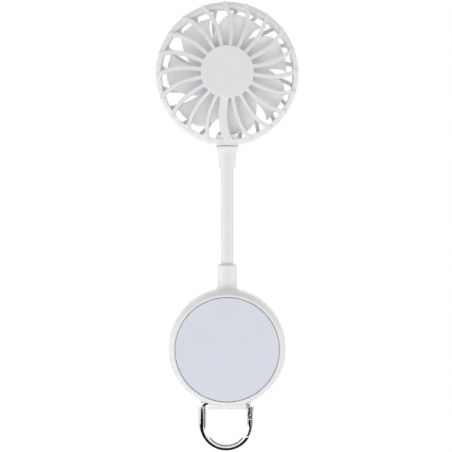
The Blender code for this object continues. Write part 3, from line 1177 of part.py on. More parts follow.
def build():
    for item in list(bpy.data.objects):
        bpy.data.objects.remove(item, do_unlink=True)
    finishes = finish_set()
    base = empty("base_frame", None, (0, 0, 0))
    form = base_form(base)
    cavity = cavity_form(base)
    rear_housing(base, form, cavity, finishes["plastic"])
    front_housing(base, form, cavity, finishes["plastic"])
    magnets(base, finishes["plate"], finishes["magnet"], finishes["steel"])
    head_start = RECESS_Y + COUNTERBORE_DEPTH - GAP - SCREW_HEAD_HEIGHT
    head = (SCREW_HEAD_RADIUS, SCREW_HEAD_HEIGHT)
    profile = screw_profile(head_start, *head, SCREW_SHANK_RADIUS, SCREW_LENGTH)
    screws("housing_screw", profile, 8, screw_places(), base, finishes["steel"])
    electronics(base, finishes)
    button(base, finishes)
    clip(base, finishes)

    joint, joint_z = neck(base, finishes)
    head = empty("head_frame", joint, (0, -SEAM_Y, HEAD_Z - joint_z))
    rotor = empty("rotor_axis", head, (0, 0, 0), "SINGLE_ARROW")
    head_collar(head, finishes["plastic"])
    rear_guard(head, finishes["guard"])
    front_guard(head, finishes["guard"])
    motor(head, rotor, finishes)
    impeller(rotor, finishes["blade"])
    motor_cable(base, finishes["cable"])


build()
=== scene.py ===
import json
import math

import bmesh
import bpy
from mathutils import Matrix, Vector


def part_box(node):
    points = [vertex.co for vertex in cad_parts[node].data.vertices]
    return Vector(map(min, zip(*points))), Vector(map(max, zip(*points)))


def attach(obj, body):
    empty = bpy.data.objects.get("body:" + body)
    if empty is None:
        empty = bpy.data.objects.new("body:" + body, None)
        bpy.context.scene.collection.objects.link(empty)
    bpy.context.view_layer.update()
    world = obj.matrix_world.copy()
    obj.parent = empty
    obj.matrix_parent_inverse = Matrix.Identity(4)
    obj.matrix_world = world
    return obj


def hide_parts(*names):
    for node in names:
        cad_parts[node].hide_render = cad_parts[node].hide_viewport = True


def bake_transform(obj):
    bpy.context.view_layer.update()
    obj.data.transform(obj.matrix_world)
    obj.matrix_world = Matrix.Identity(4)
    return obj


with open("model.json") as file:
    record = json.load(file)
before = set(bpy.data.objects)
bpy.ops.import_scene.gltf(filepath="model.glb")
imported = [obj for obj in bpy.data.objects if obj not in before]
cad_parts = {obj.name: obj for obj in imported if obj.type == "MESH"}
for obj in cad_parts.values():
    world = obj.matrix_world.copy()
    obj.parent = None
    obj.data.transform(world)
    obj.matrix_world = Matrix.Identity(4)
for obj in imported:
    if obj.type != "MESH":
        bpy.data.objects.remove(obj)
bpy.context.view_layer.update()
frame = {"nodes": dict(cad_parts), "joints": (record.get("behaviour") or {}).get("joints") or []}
print("frame loaded with", len(frame["nodes"]), "nodes")

# Shapes are modelled in millimetres about the part's origin, and toPiece turns them into metres.
mm = 0.001
gap = 0.3  # the room between two pieces
jointAt = {joint["name"]: Vector(joint.get("pos_m", (0, 0, 0))) / mm for joint in frame["joints"]}
neckJoints = [joint for joint in frame["joints"] if joint["name"].startswith("neck_")]
neckJoints.sort(key=lambda joint: joint["pos_m"][2])
bar, pin = jointAt["clip_swing"], jointAt["gate_open"]
headCentre = Vector((0, 0, jointAt["impeller_spin"].z))
seamY = bar.y  # the plane in which the base's shells meet, with the neck's axis and the clip's bar
neckAxis = (0, seamY, 0)


def cadBox(node):
    low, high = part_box(node)
    return low / mm, high / mm


def addToScene(thing):
    bpy.context.scene.collection.objects.link(thing)


# Camera: level, 390 mm behind the plate, with the lens that gives the photograph's frame

view = {"spot": (-0.6, -390.0, 62.0), "lens": 62.02, "sensor": 36.0, "nearest": 10.0}

cameraData = bpy.data.cameras.new("photoCamera")
cameraData.lens = view["lens"]
cameraData.sensor_width = view["sensor"]
cameraData.clip_start = view["nearest"] * mm
camera = bpy.data.objects.new("photoCamera", cameraData)
camera.location = Vector(view["spot"]) * mm
camera.rotation_euler = (math.radians(90), 0, 0)
addToScene(camera)
bpy.context.scene.camera = camera


# Mesh helpers

axes = {"X": (Vector((1, 0, 0)), Vector((0, 0, 1))), "Y": (Vector((0, 1, 0)), Vector((1, 0, 0))),
        "Z": (Vector((0, 0, 1)), Vector((1, 0, 0)))}  # each with the side on which a profile is drawn


def smooth(piece, sharpAngle):
    piece.data.shade_smooth()
    piece.data.set_sharp_from_angle(angle=math.radians(sharpAngle))


def toPiece(bm, name, sharpAngle=35):
    bmesh.ops.remove_doubles(bm, verts=bm.verts, dist=0.0005)
    bmesh.ops.recalc_face_normals(bm, faces=bm.faces)
    bmesh.ops.scale(bm, vec=(mm, mm, mm), verts=bm.verts)
    mesh = bpy.data.meshes.new(name)
    bm.to_mesh(mesh)
    bm.free()
    piece = bpy.data.objects.new(name, mesh)
    addToScene(piece)
    smooth(piece, sharpAngle)
    return piece


def carve(piece, operation, tools, sharpAngle=35):
    # one exact Boolean with all its tools, applied to the mesh
    group = bpy.data.collections.new(piece.name + "Tools")
    bpy.context.scene.collection.children.link(group)
    for form in tools:
        bpy.context.scene.collection.objects.unlink(form)
        group.objects.link(form)
    step = piece.modifiers.new("carve", "BOOLEAN")
    step.operation = operation
    step.operand_type = "COLLECTION"
    step.collection = group
    step.solver = "EXACT"
    bpy.context.view_layer.update()
    graph = bpy.context.evaluated_depsgraph_get()
    rough = piece.data
    carved = bpy.data.meshes.new_from_object(piece.evaluated_get(graph), depsgraph=graph)
    piece.modifiers.clear()
    piece.data = carved
    bpy.data.meshes.remove(rough)
    for form in tools:
        bpy.data.objects.remove(form)
    bpy.data.collections.remove(group)
    bm = bmesh.new()
    bm.from_mesh(carved)
    bmesh.ops.remove_doubles(bm, verts=bm.verts, dist=0.002 * mm)
    bmesh.ops.dissolve_degenerate(bm, edges=bm.edges, dist=0.001 * mm)
    bm.to_mesh(carved)
    bm.free()
    smooth(piece, sharpAngle)


def bevelled(bm, geom, width, segments, affect="EDGES", **more):
    bmesh.ops.bevel(bm, geom=geom, offset=width, offset_type="OFFSET", affect=affect, segments=segments,
                    profile=0.5, material=-1, **more)


def softenEdges(bm, width, segments):
    bmesh.ops.recalc_face_normals(bm, faces=bm.faces)
    sharp = [edge for edge in bm.edges if edge.is_manifold and edge.calc_face_angle(0) > math.radians(60)]
    bevelled(bm, sharp, width, segments, clamp_overlap=True)


def capHoles(bm):
    bmesh.ops.holes_fill(bm, edges=[edge for edge in bm.edges if edge.is_boundary], sides=0)


def cutAway(bm, spot, normal, outer=True, unit=1.0):
    # clears one side of a plane and closes the cut
    bmesh.ops.bisect_plane(bm, geom=bm.verts[:] + bm.edges[:] + bm.faces[:], dist=0.0001 * unit,
                           plane_co=spot, plane_no=normal, clear_outer=outer, clear_inner=not outer)
    capHoles(bm)


def wire(bm, corners, toPoint):
    # a line through (radius, along, rounding) corners, with the corners rounded by a vertex bevel
    verts = [bm.verts.new(toPoint(radius, along)) for radius, along, rounding in corners]
    for pair in zip(verts, verts[1:]):
        bm.edges.new(pair)
    if corners[0][0] > 0:  # a profile that stays off the axis is closed
        bm.edges.new((verts[-1], verts[0]))
    for rounding in {corner[2] for corner in corners if corner[2]}:
        rounded = [vert for vert, corner in zip(verts, corners) if corner[2] == rounding]
        bevelled(bm, rounded, rounding, 4, "VERTICES")


def spun(name, corners, axis="Y", centre=(0, 0, 0), steps=96, sharpAngle=35):
    along, out = axes[axis]
    centre = Vector(centre)
    bm = bmesh.new()
    wire(bm, corners, lambda radius, height: centre + out * radius + along * height)
    bmesh.ops.spin(bm, geom=bm.verts[:] + bm.edges[:], cent=centre, axis=along, dvec=(0, 0, 0),
                   angle=math.tau, steps=steps, use_merge=True)
    return toPiece(bm, name, sharpAngle)


def rod(name, radius, low, high, axis="Y", centre=(0, 0, 0), steps=48, rounding=0.0):
    corners = [(0, low, 0), (radius, low, rounding), (radius, high, rounding), (0, high, 0)]
    return spun(name, corners, axis, centre, steps)


def plain(corners):
    return [(radius, along, 0) for radius, along in corners]


def arc(centre, semi, start, end, steps):
    angles = [math.radians(start + (end - start) * index / steps) for index in range(steps + 1)]
    return [(centre[0] + semi[0] * math.cos(a), centre[1] + semi[1] * math.sin(a)) for a in angles]


def ringSpot(radius, angle):
    return Vector((radius * math.cos(math.radians(angle)), 0, radius * math.sin(math.radians(angle))))


def boxMesh(low, high):
    low, high = Vector(low), Vector(high)
    bm = bmesh.new()
    bmesh.ops.create_cube(bm, size=1.0)
    bmesh.ops.scale(bm, vec=high - low, verts=bm.verts)
    bmesh.ops.translate(bm, vec=(low + high) / 2, verts=bm.verts)
    return bm


def box(name, low, high, rounding=0.0, axis="X", segments=8):
    # the rounding goes to the four edges along the axis
    bm = boxMesh(low, high)
    if rounding:
        along = axes[axis][0]
        chosen = [edge for edge in bm.edges
                  if abs((edge.verts[1].co - edge.verts[0].co).normalized().dot(along)) > 0.9]
        bevelled(bm, chosen, rounding, segments)
    return toPiece(bm, name)


def extruded(bm, ring):
    # extrudes a ring of edges on the spot, for the caller to move
    grown = bmesh.ops.extrude_edge_only(bm, edges=ring)["geom"]
    verts = [item for item in grown if isinstance(item, bmesh.types.BMVert)]
    return verts, [item for item in grown if isinstance(item, bmesh.types.BMEdge)
                   and all(vert in verts for vert in item.verts)]


def scaled(bm, centre, shares, verts):
    bmesh.ops.scale(bm, vec=shares, space=Matrix.Translation(-centre), verts=verts)


def sweep(bm, ring, points, sizes=None):
    # carries a ring of edges along a path: each step extrudes it, moves it on and turns it to the path
    last = len(points) - 1
    sizes = sizes or [1.0] * (last + 1)
    aim = (points[1] - points[0]).normalized()
    for index in range(1, last + 1):
        verts, ring = extruded(bm, ring)
        bmesh.ops.translate(bm, vec=points[index] - points[index - 1], verts=verts)
        following = (points[min(index + 1, last)] - points[index - 1]).normalized()
        turn = aim.rotation_difference(following).to_matrix()
        bmesh.ops.rotate(bm, cent=points[index], matrix=turn, verts=verts)
        share = sizes[index] / sizes[index - 1]
        if share != 1.0:
            scaled(bm, points[index], (share, share, share), verts)
        aim = following
    capHoles(bm)


def roundRing(bm, centre, aim, radius, sides):
    turn = Vector((0, 0, 1)).rotation_difference(aim).to_matrix().to_4x4()
    bmesh.ops.create_circle(bm, cap_ends=False, segments=sides, radius=radius,
                            matrix=Matrix.Translation(centre) @ turn)
    return bm.edges[:]


def squareRing(bm, centre, side, up):
    verts = [bm.verts.new(centre + side * a + up * b) for a, b in ((-1, -1), (1, -1), (1, 1), (-1, 1))]
    return [bm.edges.new((verts[index], verts[(index + 1) % 4])) for index in range(4)]


def roundSweep(name, points, radius, sides=16, sizes=None):
    bm = bmesh.new()
    ring = roundRing(bm, points[0], (points[1] - points[0]).normalized(), radius * (sizes or [1.0])[0], sides)
    sweep(bm, ring, points, sizes)
    return toPiece(bm, name)


# Materials


class Socket:
    # an output that takes part in Python sums: each operator adds a Math node
    def __init__(self, finish, output):
        self.finish = finish
        self.output = output

    def maths(self, operation, first, second):
        return self.finish.node("ShaderNodeMath", {"operation": operation}, {0: first, 1: second})

    def __add__(self, other):
        return self.maths("ADD", self, other)

    def __sub__(self, other):
        return self.maths("SUBTRACT", self, other)

    def __mul__(self, other):
        return self.maths("MULTIPLY", self, other)

    def __rsub__(self, other):
        return self.maths("SUBTRACT", other, self)

    __radd__ = __add__
    __rmul__ = __mul__


class Finish:
    # the nodes of a Principled material, or of the world: node() adds any other node
    def __init__(self, name, kind="materials", shader="Principled BSDF", **fixed):
        self.owner = getattr(bpy.data, kind).new(name)
        self.owner.use_nodes = True
        self.tree = self.owner.node_tree
        self.shader = self.tree.nodes[shader]
        for socket, value in fixed.items():
            self.shader.inputs[socket.replace("_", " ")].default_value = value

    def node(self, kind, settings=None, inputs=None, output=0):
        made = self.tree.nodes.new(kind)
        for name, value in (settings or {}).items():
            setattr(made, name, value)
        for key, value in (inputs or {}).items():
            self.feed(made.inputs[key], value)
        return Socket(self, made.outputs[output])

    def feed(self, socket, value):
        if isinstance(value, Socket):
            self.tree.links.new(value.output, socket)
        else:
            socket.default_value = value

    def place(self):
        return self.node("ShaderNodeTexCoord", output="Object")

    def stretched(self, scale):
        return self.node("ShaderNodeMapping", inputs={"Vector": self.place(), "Scale": scale})

    def noise(self, size, detail=2.0, roughness=0.5, where=None):
        # size is the width of a mark in millimetres
        return self.node("ShaderNodeTexNoise",
                         inputs={"Vector": where or self.place(), "Scale": 1 / (size * mm),
                                 "Detail": detail, "Roughness": roughness})

    def between(self, value, low, high):
        # 0 below low and 1 above high
        return self.node("ShaderNodeMapRange", {"clamp": True},
                         {"Value": value, "From Min": low, "From Max": high})

    def mixed(self, share, first, second):
        return self.node("ShaderNodeMix", {"data_type": "RGBA"}, {0: share, 6: first, 7: second}, output=2)

    def mottled(self, mark, low, high, colour, dark, pale):
        # from a darker share of the colour to a paler one, where the mark goes from low to high
        return self.mixed(self.between(mark, low, high), tint(colour, dark), tint(colour, pale))

    def bumps(self, height, depth):
        return self.node("ShaderNodeBump", inputs={"Strength": 1.0, "Distance": depth * mm, "Height": height})

    def give(self, **varying):
        for socket, value in varying.items():
            self.feed(self.shader.inputs[socket.replace("_", " ")], value)
        return self.owner


def tint(colour, share=1.0):
    return tuple(channel * share for channel in colour) + (1.0,)


def mouldedPlastic(name, look):
    # satin moulding: a fine spark-eroded grain, faint flow mottling and a little uneven gloss
    finish = Finish(name, IOR=1.46, Coat_Weight=look.get("coat", 0.0), Coat_Roughness=0.2,
                    Subsurface_Weight=look.get("milkiness", 0.0), Subsurface_Radius=(1.0, 1.0, 1.0),
                    Subsurface_Scale=look.get("milkDepth", 1.0) * mm)
    mottle = finish.noise(look["mottleSize"], 3.0)
    grain = finish.noise(look["grainSize"], 2.0, 0.6)
    colour = finish.mottled(mottle, 0.35, 0.65, look["colour"], 1 - look["mottle"], 1 + look["mottle"])
    gloss = look["roughness"] + (grain - 0.5) * look["glossChange"] + (mottle - 0.5) * look["glossChange"]
    return finish.give(Base_Color=colour, Roughness=gloss, Normal=finish.bumps(grain, look["grainDepth"]))


def polishedPlate(name, look):
    # a clear polished face over a pale layer: nearly flat, with a faint orange peel and a few smudges
    finish = Finish(name, IOR=1.49, Coat_Weight=look["coat"], Coat_Roughness=0.03)
    wave = finish.noise(look["peelSize"], 1.0)
    haze = finish.noise(look["hazeSize"], 2.0)
    smudge = finish.noise(look["smudgeSize"], 4.0, 0.65)
    colour = finish.mottled(haze, 0.3, 0.7, look["colour"], 0.985, 1.015)
    gloss = look["roughness"] + finish.between(smudge, 0.5, 0.75) * look["smudgeGloss"]
    return finish.give(Base_Color=colour, Roughness=gloss, Normal=finish.bumps(wave, look["peelDepth"]))


def polishedMetal(name, look):
    # plated and buffed metal: slow waves in the plating and hairline scratches in its gloss
    finish = Finish(name, Metallic=1.0)
    wave = finish.noise(look["waveSize"], 1.0)
    scratches = finish.noise(0.25, 3.0, 0.7, finish.stretched(look["scratchStretch"]))
    stain = finish.noise(3.0, 3.0)
    colour = finish.mixed(finish.between(stain, 0.3, 0.8), tint(look["colour"]), tint(look["shadeColour"]))
    gloss = look["roughness"] + finish.between(scratches, 0.55, 0.8) * look["scratchGloss"]
    return finish.give(Base_Color=colour, Roughness=gloss, Normal=finish.bumps(wave, look["waveDepth"]))


def siliconeSkin(name, look):
    # matt silicone sleeve: a powdery bloom, tiny pores and a few specks of lint
    finish = Finish(name, IOR=1.41, Sheen_Weight=0.15, Sheen_Roughness=0.4)
    bloom = finish.noise(look["bloomSize"], 4.0, 0.6)
    lint = finish.noise(look["lintSize"], 1.0, 0.5, finish.stretched((1.0, 1.0, 0.35)))
    colour = finish.mottled(bloom, 0.3, 0.7, look["colour"], 0.985, 1.01)
    colour = finish.mixed(finish.between(lint, 0.74, 0.8) * 0.25, colour, tint(look["colour"], 0.93))
    pores = finish.bumps(finish.noise(look["poreSize"], 2.0), look["poreDepth"])
    return finish.give(Base_Color=colour, Roughness=look["roughness"] + (bloom - 0.5) * 0.12, Normal=pores)


def solderMask(name, look):
    # green mask over copper tracks, with bare round pads
    finish = Finish(name, IOR=1.5)
    tracks = finish.node("ShaderNodeTexBrick", {"offset": 0.37, "squash": 0.6, "squash_frequency": 3},
                         {"Vector": finish.place(), "Scale": look["trackScale"], "Mortar Size": 0.06,
                          "Bias": 0.2}, "Fac")
    spots = finish.node("ShaderNodeTexVoronoi", {"feature": "F1"},
                        {"Vector": finish.place(), "Scale": look["padScale"]}, "Distance")
    pad = 1 - finish.between(spots, 0.12, 0.16)
    colour = finish.mixed(tracks, tint(look["colour"]), tint(look["colour"], 1.8))
    colour = finish.mixed(pad, colour, tint(look["padColour"]))
    return finish.give(Base_Color=colour, Roughness=0.42 - pad * 0.15, Metallic=pad * 0.9,
                       Normal=finish.bumps(tracks, 0.02))


def foil(name, look):
    # crinkled aluminium laminate
    finish = Finish(name)
    crinkle = finish.noise(look["crinkleSize"], 5.0, 0.65)
    colour = finish.mottled(crinkle, 0.35, 0.65, look["colour"], 0.92, 1.06)
    return finish.give(Base_Color=colour, Metallic=0.85 + (crinkle - 0.5) * 0.1,
                       Roughness=0.28 + crinkle * 0.25, Normal=finish.bumps(crinkle, look["crinkleDepth"]))


def winding(name, look):
    # enamelled wire laid side by side round the poles
    finish = Finish(name, Metallic=0.9)
    turns = finish.node("ShaderNodeTexWave", {"wave_type": "BANDS", "bands_direction": "Y"},
                        {"Vector": finish.place(), "Scale": look["wireScale"], "Distortion": 1.2,
                         "Detail": 1.0})
    colour = finish.mixed(turns, tint(look["colour"], 0.55), tint(look["colour"], 1.1))
    return finish.give(Base_Color=colour, Roughness=0.42 - turns * 0.14, Normal=finish.bumps(turns, 0.04))


whiteLook = {"colour": (0.845, 0.845, 0.86), "roughness": 0.42, "mottle": 0.008, "mottleSize": 9.0,
             "grainSize": 0.22, "grainDepth": 0.006, "glossChange": 0.08}
guardLook = {"colour": (0.835, 0.835, 0.86), "roughness": 0.45, "mottle": 0.010, "mottleSize": 7.0,
             "grainSize": 0.20, "grainDepth": 0.007, "glossChange": 0.10}
bladeLook = {"colour": (0.89, 0.905, 0.92), "roughness": 0.44, "mottle": 0.020, "mottleSize": 5.0,
             "grainSize": 0.35, "grainDepth": 0.004, "glossChange": 0.08, "milkiness": 1.0, "milkDepth": 4.0}
darkLook = {"colour": (0.05, 0.05, 0.052), "roughness": 0.48, "mottle": 0.06, "mottleSize": 4.0,
            "grainSize": 0.2, "grainDepth": 0.008, "glossChange": 0.1}
clearLook = {"colour": (0.86, 0.88, 0.90), "roughness": 0.12, "mottle": 0.008, "mottleSize": 9.0,
             "grainSize": 0.22, "grainDepth": 0.001, "glossChange": 0.08, "coat": 1.0}
cableLook = {"colour": (0.82, 0.82, 0.80), "roughness": 0.5, "mottle": 0.015, "mottleSize": 3.0,
             "grainSize": 0.15, "grainDepth": 0.004, "glossChange": 0.08}
plateLook = {"colour": (0.72, 0.753, 0.838), "roughness": 0.10, "coat": 0.6, "peelSize": 3.5,
             "peelDepth": 0.002, "hazeSize": 14.0, "smudgeSize": 2.2, "smudgeGloss": 0.05}
chromeLook = {"colour": (0.93, 0.92, 0.905), "shadeColour": (0.87, 0.855, 0.835), "roughness": 0.05,
              "waveSize": 2.6, "waveDepth": 0.012, "scratchStretch": (1.0, 1.0, 0.08), "scratchGloss": 0.10}
steelLook = {"colour": (0.62, 0.62, 0.63), "shadeColour": (0.50, 0.50, 0.52), "roughness": 0.26,
             "waveSize": 1.2, "waveDepth": 0.01, "scratchStretch": (1.0, 0.06, 1.0), "scratchGloss": 0.22}
nickelLook = {"colour": (0.56, 0.55, 0.53), "shadeColour": (0.47, 0.46, 0.45), "roughness": 0.30,
              "waveSize": 0.8, "waveDepth": 0.02, "scratchStretch": (1.0, 1.0, 1.0), "scratchGloss": 0.15}
bronzeLook = {"colour": (0.52, 0.34, 0.17), "shadeColour": (0.40, 0.25, 0.12), "roughness": 0.38,
              "waveSize": 0.3, "waveDepth": 0.01, "scratchStretch": (1.0, 0.1, 1.0), "scratchGloss": 0.1}
siliconeLook = {"colour": (0.845, 0.845, 0.86), "roughness": 0.58, "bloomSize": 4.0, "lintSize": 0.5,
                "poreSize": 0.12, "poreDepth": 0.006}
boardLook = {"colour": (0.03, 0.17, 0.08), "padColour": (0.72, 0.60, 0.34), "trackScale": 260.0,
             "padScale": 420.0}
foilLook = {"colour": (0.62, 0.64, 0.67), "crinkleSize": 2.5, "crinkleDepth": 0.05}
windingLook = {"colour": (0.62, 0.28, 0.12), "wireScale": 1400.0}

whitePlastic = mouldedPlastic("whitePlastic", whiteLook)
guardPlastic = mouldedPlastic("guardPlastic", guardLook)
bladePlastic = mouldedPlastic("bladePlastic", bladeLook)
darkPlastic = mouldedPlastic("darkPlastic", darkLook)
clearPipe = mouldedPlastic("clearPipe", clearLook)
cableSheath = mouldedPlastic("cableSheath", cableLook)
plateGloss = polishedPlate("plateGloss", plateLook)
chrome = polishedMetal("chrome", chromeLook)
platedSteel = polishedMetal("platedSteel", steelLook)
magnetNickel = polishedMetal("magnetNickel", nickelLook)
bushBronze = polishedMetal("bushBronze", bronzeLook)
neckSilicone = siliconeSkin("neckSilicone", siliconeLook)
boardMask = solderMask("boardMask", boardLook)
batteryFoil = foil("batteryFoil", foilLook)
copperWinding = winding("copperWinding", windingLook)
print("materials made")


def finished(piece, body, material, slotName, *nodes):
    # gives a piece its finish and its body, and hides the CAD nodes that it stands for
    piece.data.materials.clear()
    piece.data.materials.append(material)
    # flat faces stay flat to the light, and only the rounded edges bend it
    normals = piece.modifiers.new("evenNormals", "WEIGHTED_NORMAL")
    normals.keep_sharp = True
    if body:
        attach(piece, body)
    if nodes:
        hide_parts(*nodes)


def assembled(piece, added, cut, *finish):
    # joins some forms to a piece, cuts others out of it and finishes it
    carve(piece, "UNION", added)
    carve(piece, "DIFFERENCE", cut, 30)
    finished(piece, *finish)


# Magnetic base: two shells that meet in the neck's plane

baseShape = {"seamRadius": 30.0, "rearRim": 27.0, "frontRim": 26.0, "depth": 17.0, "wall": 1.6,
             "recessRadius": 26.35, "recessDepth": 1.3, "pocketInner": 14.0, "pocketOuter": 21.7,
             "pocketFloor": 4.6, "wellRadius": 12.6, "wellFloor": 2.6, "insideFloor": 5.9, "steps": 160,
             "solidBelow": -24.6, "bedRear": 3.4, "bedFront": 15.8, "buttonOpening": 6.3}
socketShape = {"radius": 4.95, "top": 42.5, "chamfer": 0.9, "flareTop": 32.2, "flareHeight": 3.7,
               "flareX": 2.95, "flareY": 0.95, "foot": 27.3, "sides": 56, "boreRadius": 3.5,
               "boreFloor": 34.3, "cableHole": 2.0, "cableFoot": 21.8}
tabShape = {"halfWidth": 9.55, "halfDepth": 5.0, "bottom": -31.4, "top": -25.3, "rounding": 2.2,
            "barHole": 2.15, "barReach": 10.6, "notchEnd": 15.3, "notchTop": -25.9, "notchFoot": -32.0}
screwShape = {"circle": 24.2, "angles": (35, 145, 215, 325), "boss": 2.2, "bossRear": 2.2,
              "bossFront": 16.2, "bore": 1.15, "boreRear": 9.0, "boreFront": 11.0, "seat": 1.8,
              "seatRear": 0.9, "seatDepth": 1.6, "tip": 14.3}
postShape = {"spots": ((-12.0, 11.5), (12.0, 11.5), (0.0, -17.5)), "radius": 1.8, "rear": 11.9, "front": 16.2,
             "bore": 1.0, "boreRear": 11.0, "boreFront": 14.2}
openingShape = {"light": 1.1, "lightZ": 11.0, "lightRear": 14.0, "lightFront": 18.0, "portDepth": 3.6,
                "portRounding": 1.9}


def sideCurve(inset, start, end, steps):
    # the base's side between two depths, set in from its face
    points = []
    for index in range(steps + 1):
        y = start + (end - start) * index / steps
        rim, reach = (baseShape["rearRim"], seamY) if y < seamY else (baseShape["frontRim"],
                                                                      baseShape["depth"] - seamY)
        spread = baseShape["seamRadius"] - rim - inset
        points.append((rim + spread * math.sqrt(max(0.0, 1 - ((y - seamY) / (reach - inset)) ** 2)), y))
    return points


def outerCurve(rimY, seamSide):
    # its face as an even run of turns from the rim to the seam, so that the tight end stays round
    side = -1 if rimY < seamY else 1
    rim = baseShape["rearRim" if rimY < seamY else "frontRim"]
    reach = abs(rimY - seamY)
    last = math.degrees(math.asin(abs(seamSide - seamY) / reach)) * side
    return arc((rim, seamY), (baseShape["seamRadius"] - rim, reach), 90 * side, last, 14)


def keepSeamSide(bm, seamSide):
    cutAway(bm, (0, seamSide, 0), (0, 1, 0), outer=seamSide < seamY)


def socketHalf(seamSide):
    # the neck socket with its flare: an oval ring that is carried up and scaled, cut in the seam plane
    shape = socketShape
    foot = Vector((0, seamY, shape["foot"]))
    bm = bmesh.new()
    ring = roundRing(bm, foot, Vector((0, 0, 1)), 1.0, shape["sides"])
    levels = [(foot.z, 1.0), (shape["flareTop"] - shape["flareHeight"], 1.0)]
    for index in range(1, 13):
        turn = math.radians(90 * index / 12)
        levels.append((shape["flareTop"] - shape["flareHeight"] * math.cos(turn), 1 - math.sin(turn)))
    top, chamfer = shape["top"], shape["chamfer"]
    levels += [(top - chamfer, 0.0), (top - chamfer * 0.4, -0.12), (top, -chamfer / shape["flareX"])]
    sizes = [(shape["radius"] + shape["flareX"] * spread,
              shape["radius"] + shape["flareY" if spread > 0 else "flareX"] * spread, z)
             for z, spread in levels]
    scaled(bm, foot, (*sizes[0][:2], 1), bm.verts)
    for (oldX, oldY, oldZ), (x, y, z) in zip(sizes, sizes[1:]):
        verts, ring = extruded(bm, ring)
        bmesh.ops.translate(bm, vec=(0, 0, z - oldZ), verts=verts)
        scaled(bm, foot, (x / oldX, y / oldY, 1), verts)
    capHoles(bm)
    keepSeamSide(bm, seamSide)
    return toPiece(bm, "socketHalf")


def tabHalf(seamSide):
    shape = tabShape
    bm = boxMesh((-shape["halfWidth"], seamY - shape["halfDepth"], shape["bottom"]),
                 (shape["halfWidth"], seamY + shape["halfDepth"], shape["top"]))
    bottomEdges = [edge for edge in bm.edges if all(vert.co.z < shape["bottom"] + 0.1 for vert in edge.verts)
                   and abs(edge.verts[0].co.y - edge.verts[1].co.y) < 0.1]
    bevelled(bm, bottomEdges, shape["rounding"], 8)
    keepSeamSide(bm, seamSide)
    return toPiece(bm, "tabHalf")


def barBed(seamSide, outerSide):
    # the solid bed between the clip's bar and the inside of the base
    corners = [(0, outerSide)] + sideCurve(baseShape["wall"] / 2, outerSide, seamSide, 8) + [(0, seamSide)]
    bed = spun("barBed", plain(corners), steps=baseShape["steps"])
    bm = bmesh.new()
    bm.from_mesh(bed.data)
    cutAway(bm, (0, 0, baseShape["solidBelow"] * mm), (0, 0, 1), unit=mm)
    bm.to_mesh(bed.data)
    bm.free()
    return bed


def shellInside(seamSide, bedEnd):
    return [socketHalf(seamSide), tabHalf(seamSide), barBed(seamSide, bedEnd)]


def screwRods(radius, low, high, steps=48):
    return [rod("screwRod", radius, low, high, "Y", ringSpot(screwShape["circle"], angle), steps)
            for angle in screwShape["angles"]]


def baseCutters():
    # the room for the neck, its cable and the clip, which both shells leave
    socket, tab, top = socketShape, tabShape, socketShape["top"]
    cutters = [rod("neckBore", socket["boreRadius"], socket["boreFloor"], top + 1.5, "Z", neckAxis),
               rod("cableHole", socket["cableHole"], socket["cableFoot"], top - 0.5, "Z", neckAxis, 32),
               rod("barHole", tab["barHole"], -tab["barReach"], tab["barReach"], "X", (0, seamY, bar.z), 40)]
    for near, far in ((-tab["notchEnd"], -tab["halfWidth"]), (tab["halfWidth"], tab["notchEnd"])):
        cutters.append(box("clipNotch", (near, seamY - tab["halfDepth"], tab["notchFoot"]),
                           (far, seamY + tab["halfDepth"], tab["notchTop"])))
    return cutters


def rearShell():
    shape, screw = baseShape, screwShape
    seamSide = seamY - gap / 2
    recess, floor = shape["recessDepth"], shape["pocketFloor"]
    corners = [(0, recess, 0), (shape["pocketInner"], recess, 0.12), (shape["pocketInner"], floor, 0),
               (shape["pocketOuter"], floor, 0), (shape["pocketOuter"], recess, 0.12),
               (shape["recessRadius"], recess, 0), (shape["recessRadius"], 0, 0.14)]
    well, inside = shape["wellRadius"], shape["insideFloor"]
    corners += plain(outerCurve(0.0, seamSide) + [(shape["seamRadius"] - shape["wall"], seamSide)]
                     + sideCurve(shape["wall"], inside, seamSide, 6)[::-1]
                     + [(well, inside), (well, shape["wellFloor"]), (0, shape["wellFloor"])])
    shell = spun("rearShell", corners, steps=shape["steps"])
    bosses = screwRods(screw["boss"], screw["bossRear"], seamSide)
    rear, seat, front = screw["seatRear"], recess + screw["seatDepth"], screw["boreFront"]
    hole = plain([(0, rear), (screw["seat"], rear), (screw["seat"], seat), (screw["bore"], seat),
                  (screw["bore"], front), (0, front)])
    holes = [spun("screwHole", hole, centre=ringSpot(screw["circle"], angle), steps=32)
             for angle in screw["angles"]]
    assembled(shell, shellInside(seamSide, shape["bedRear"]) + bosses, baseCutters() + holes,
              "base", whitePlastic, "white_plastic", "rear_housing")


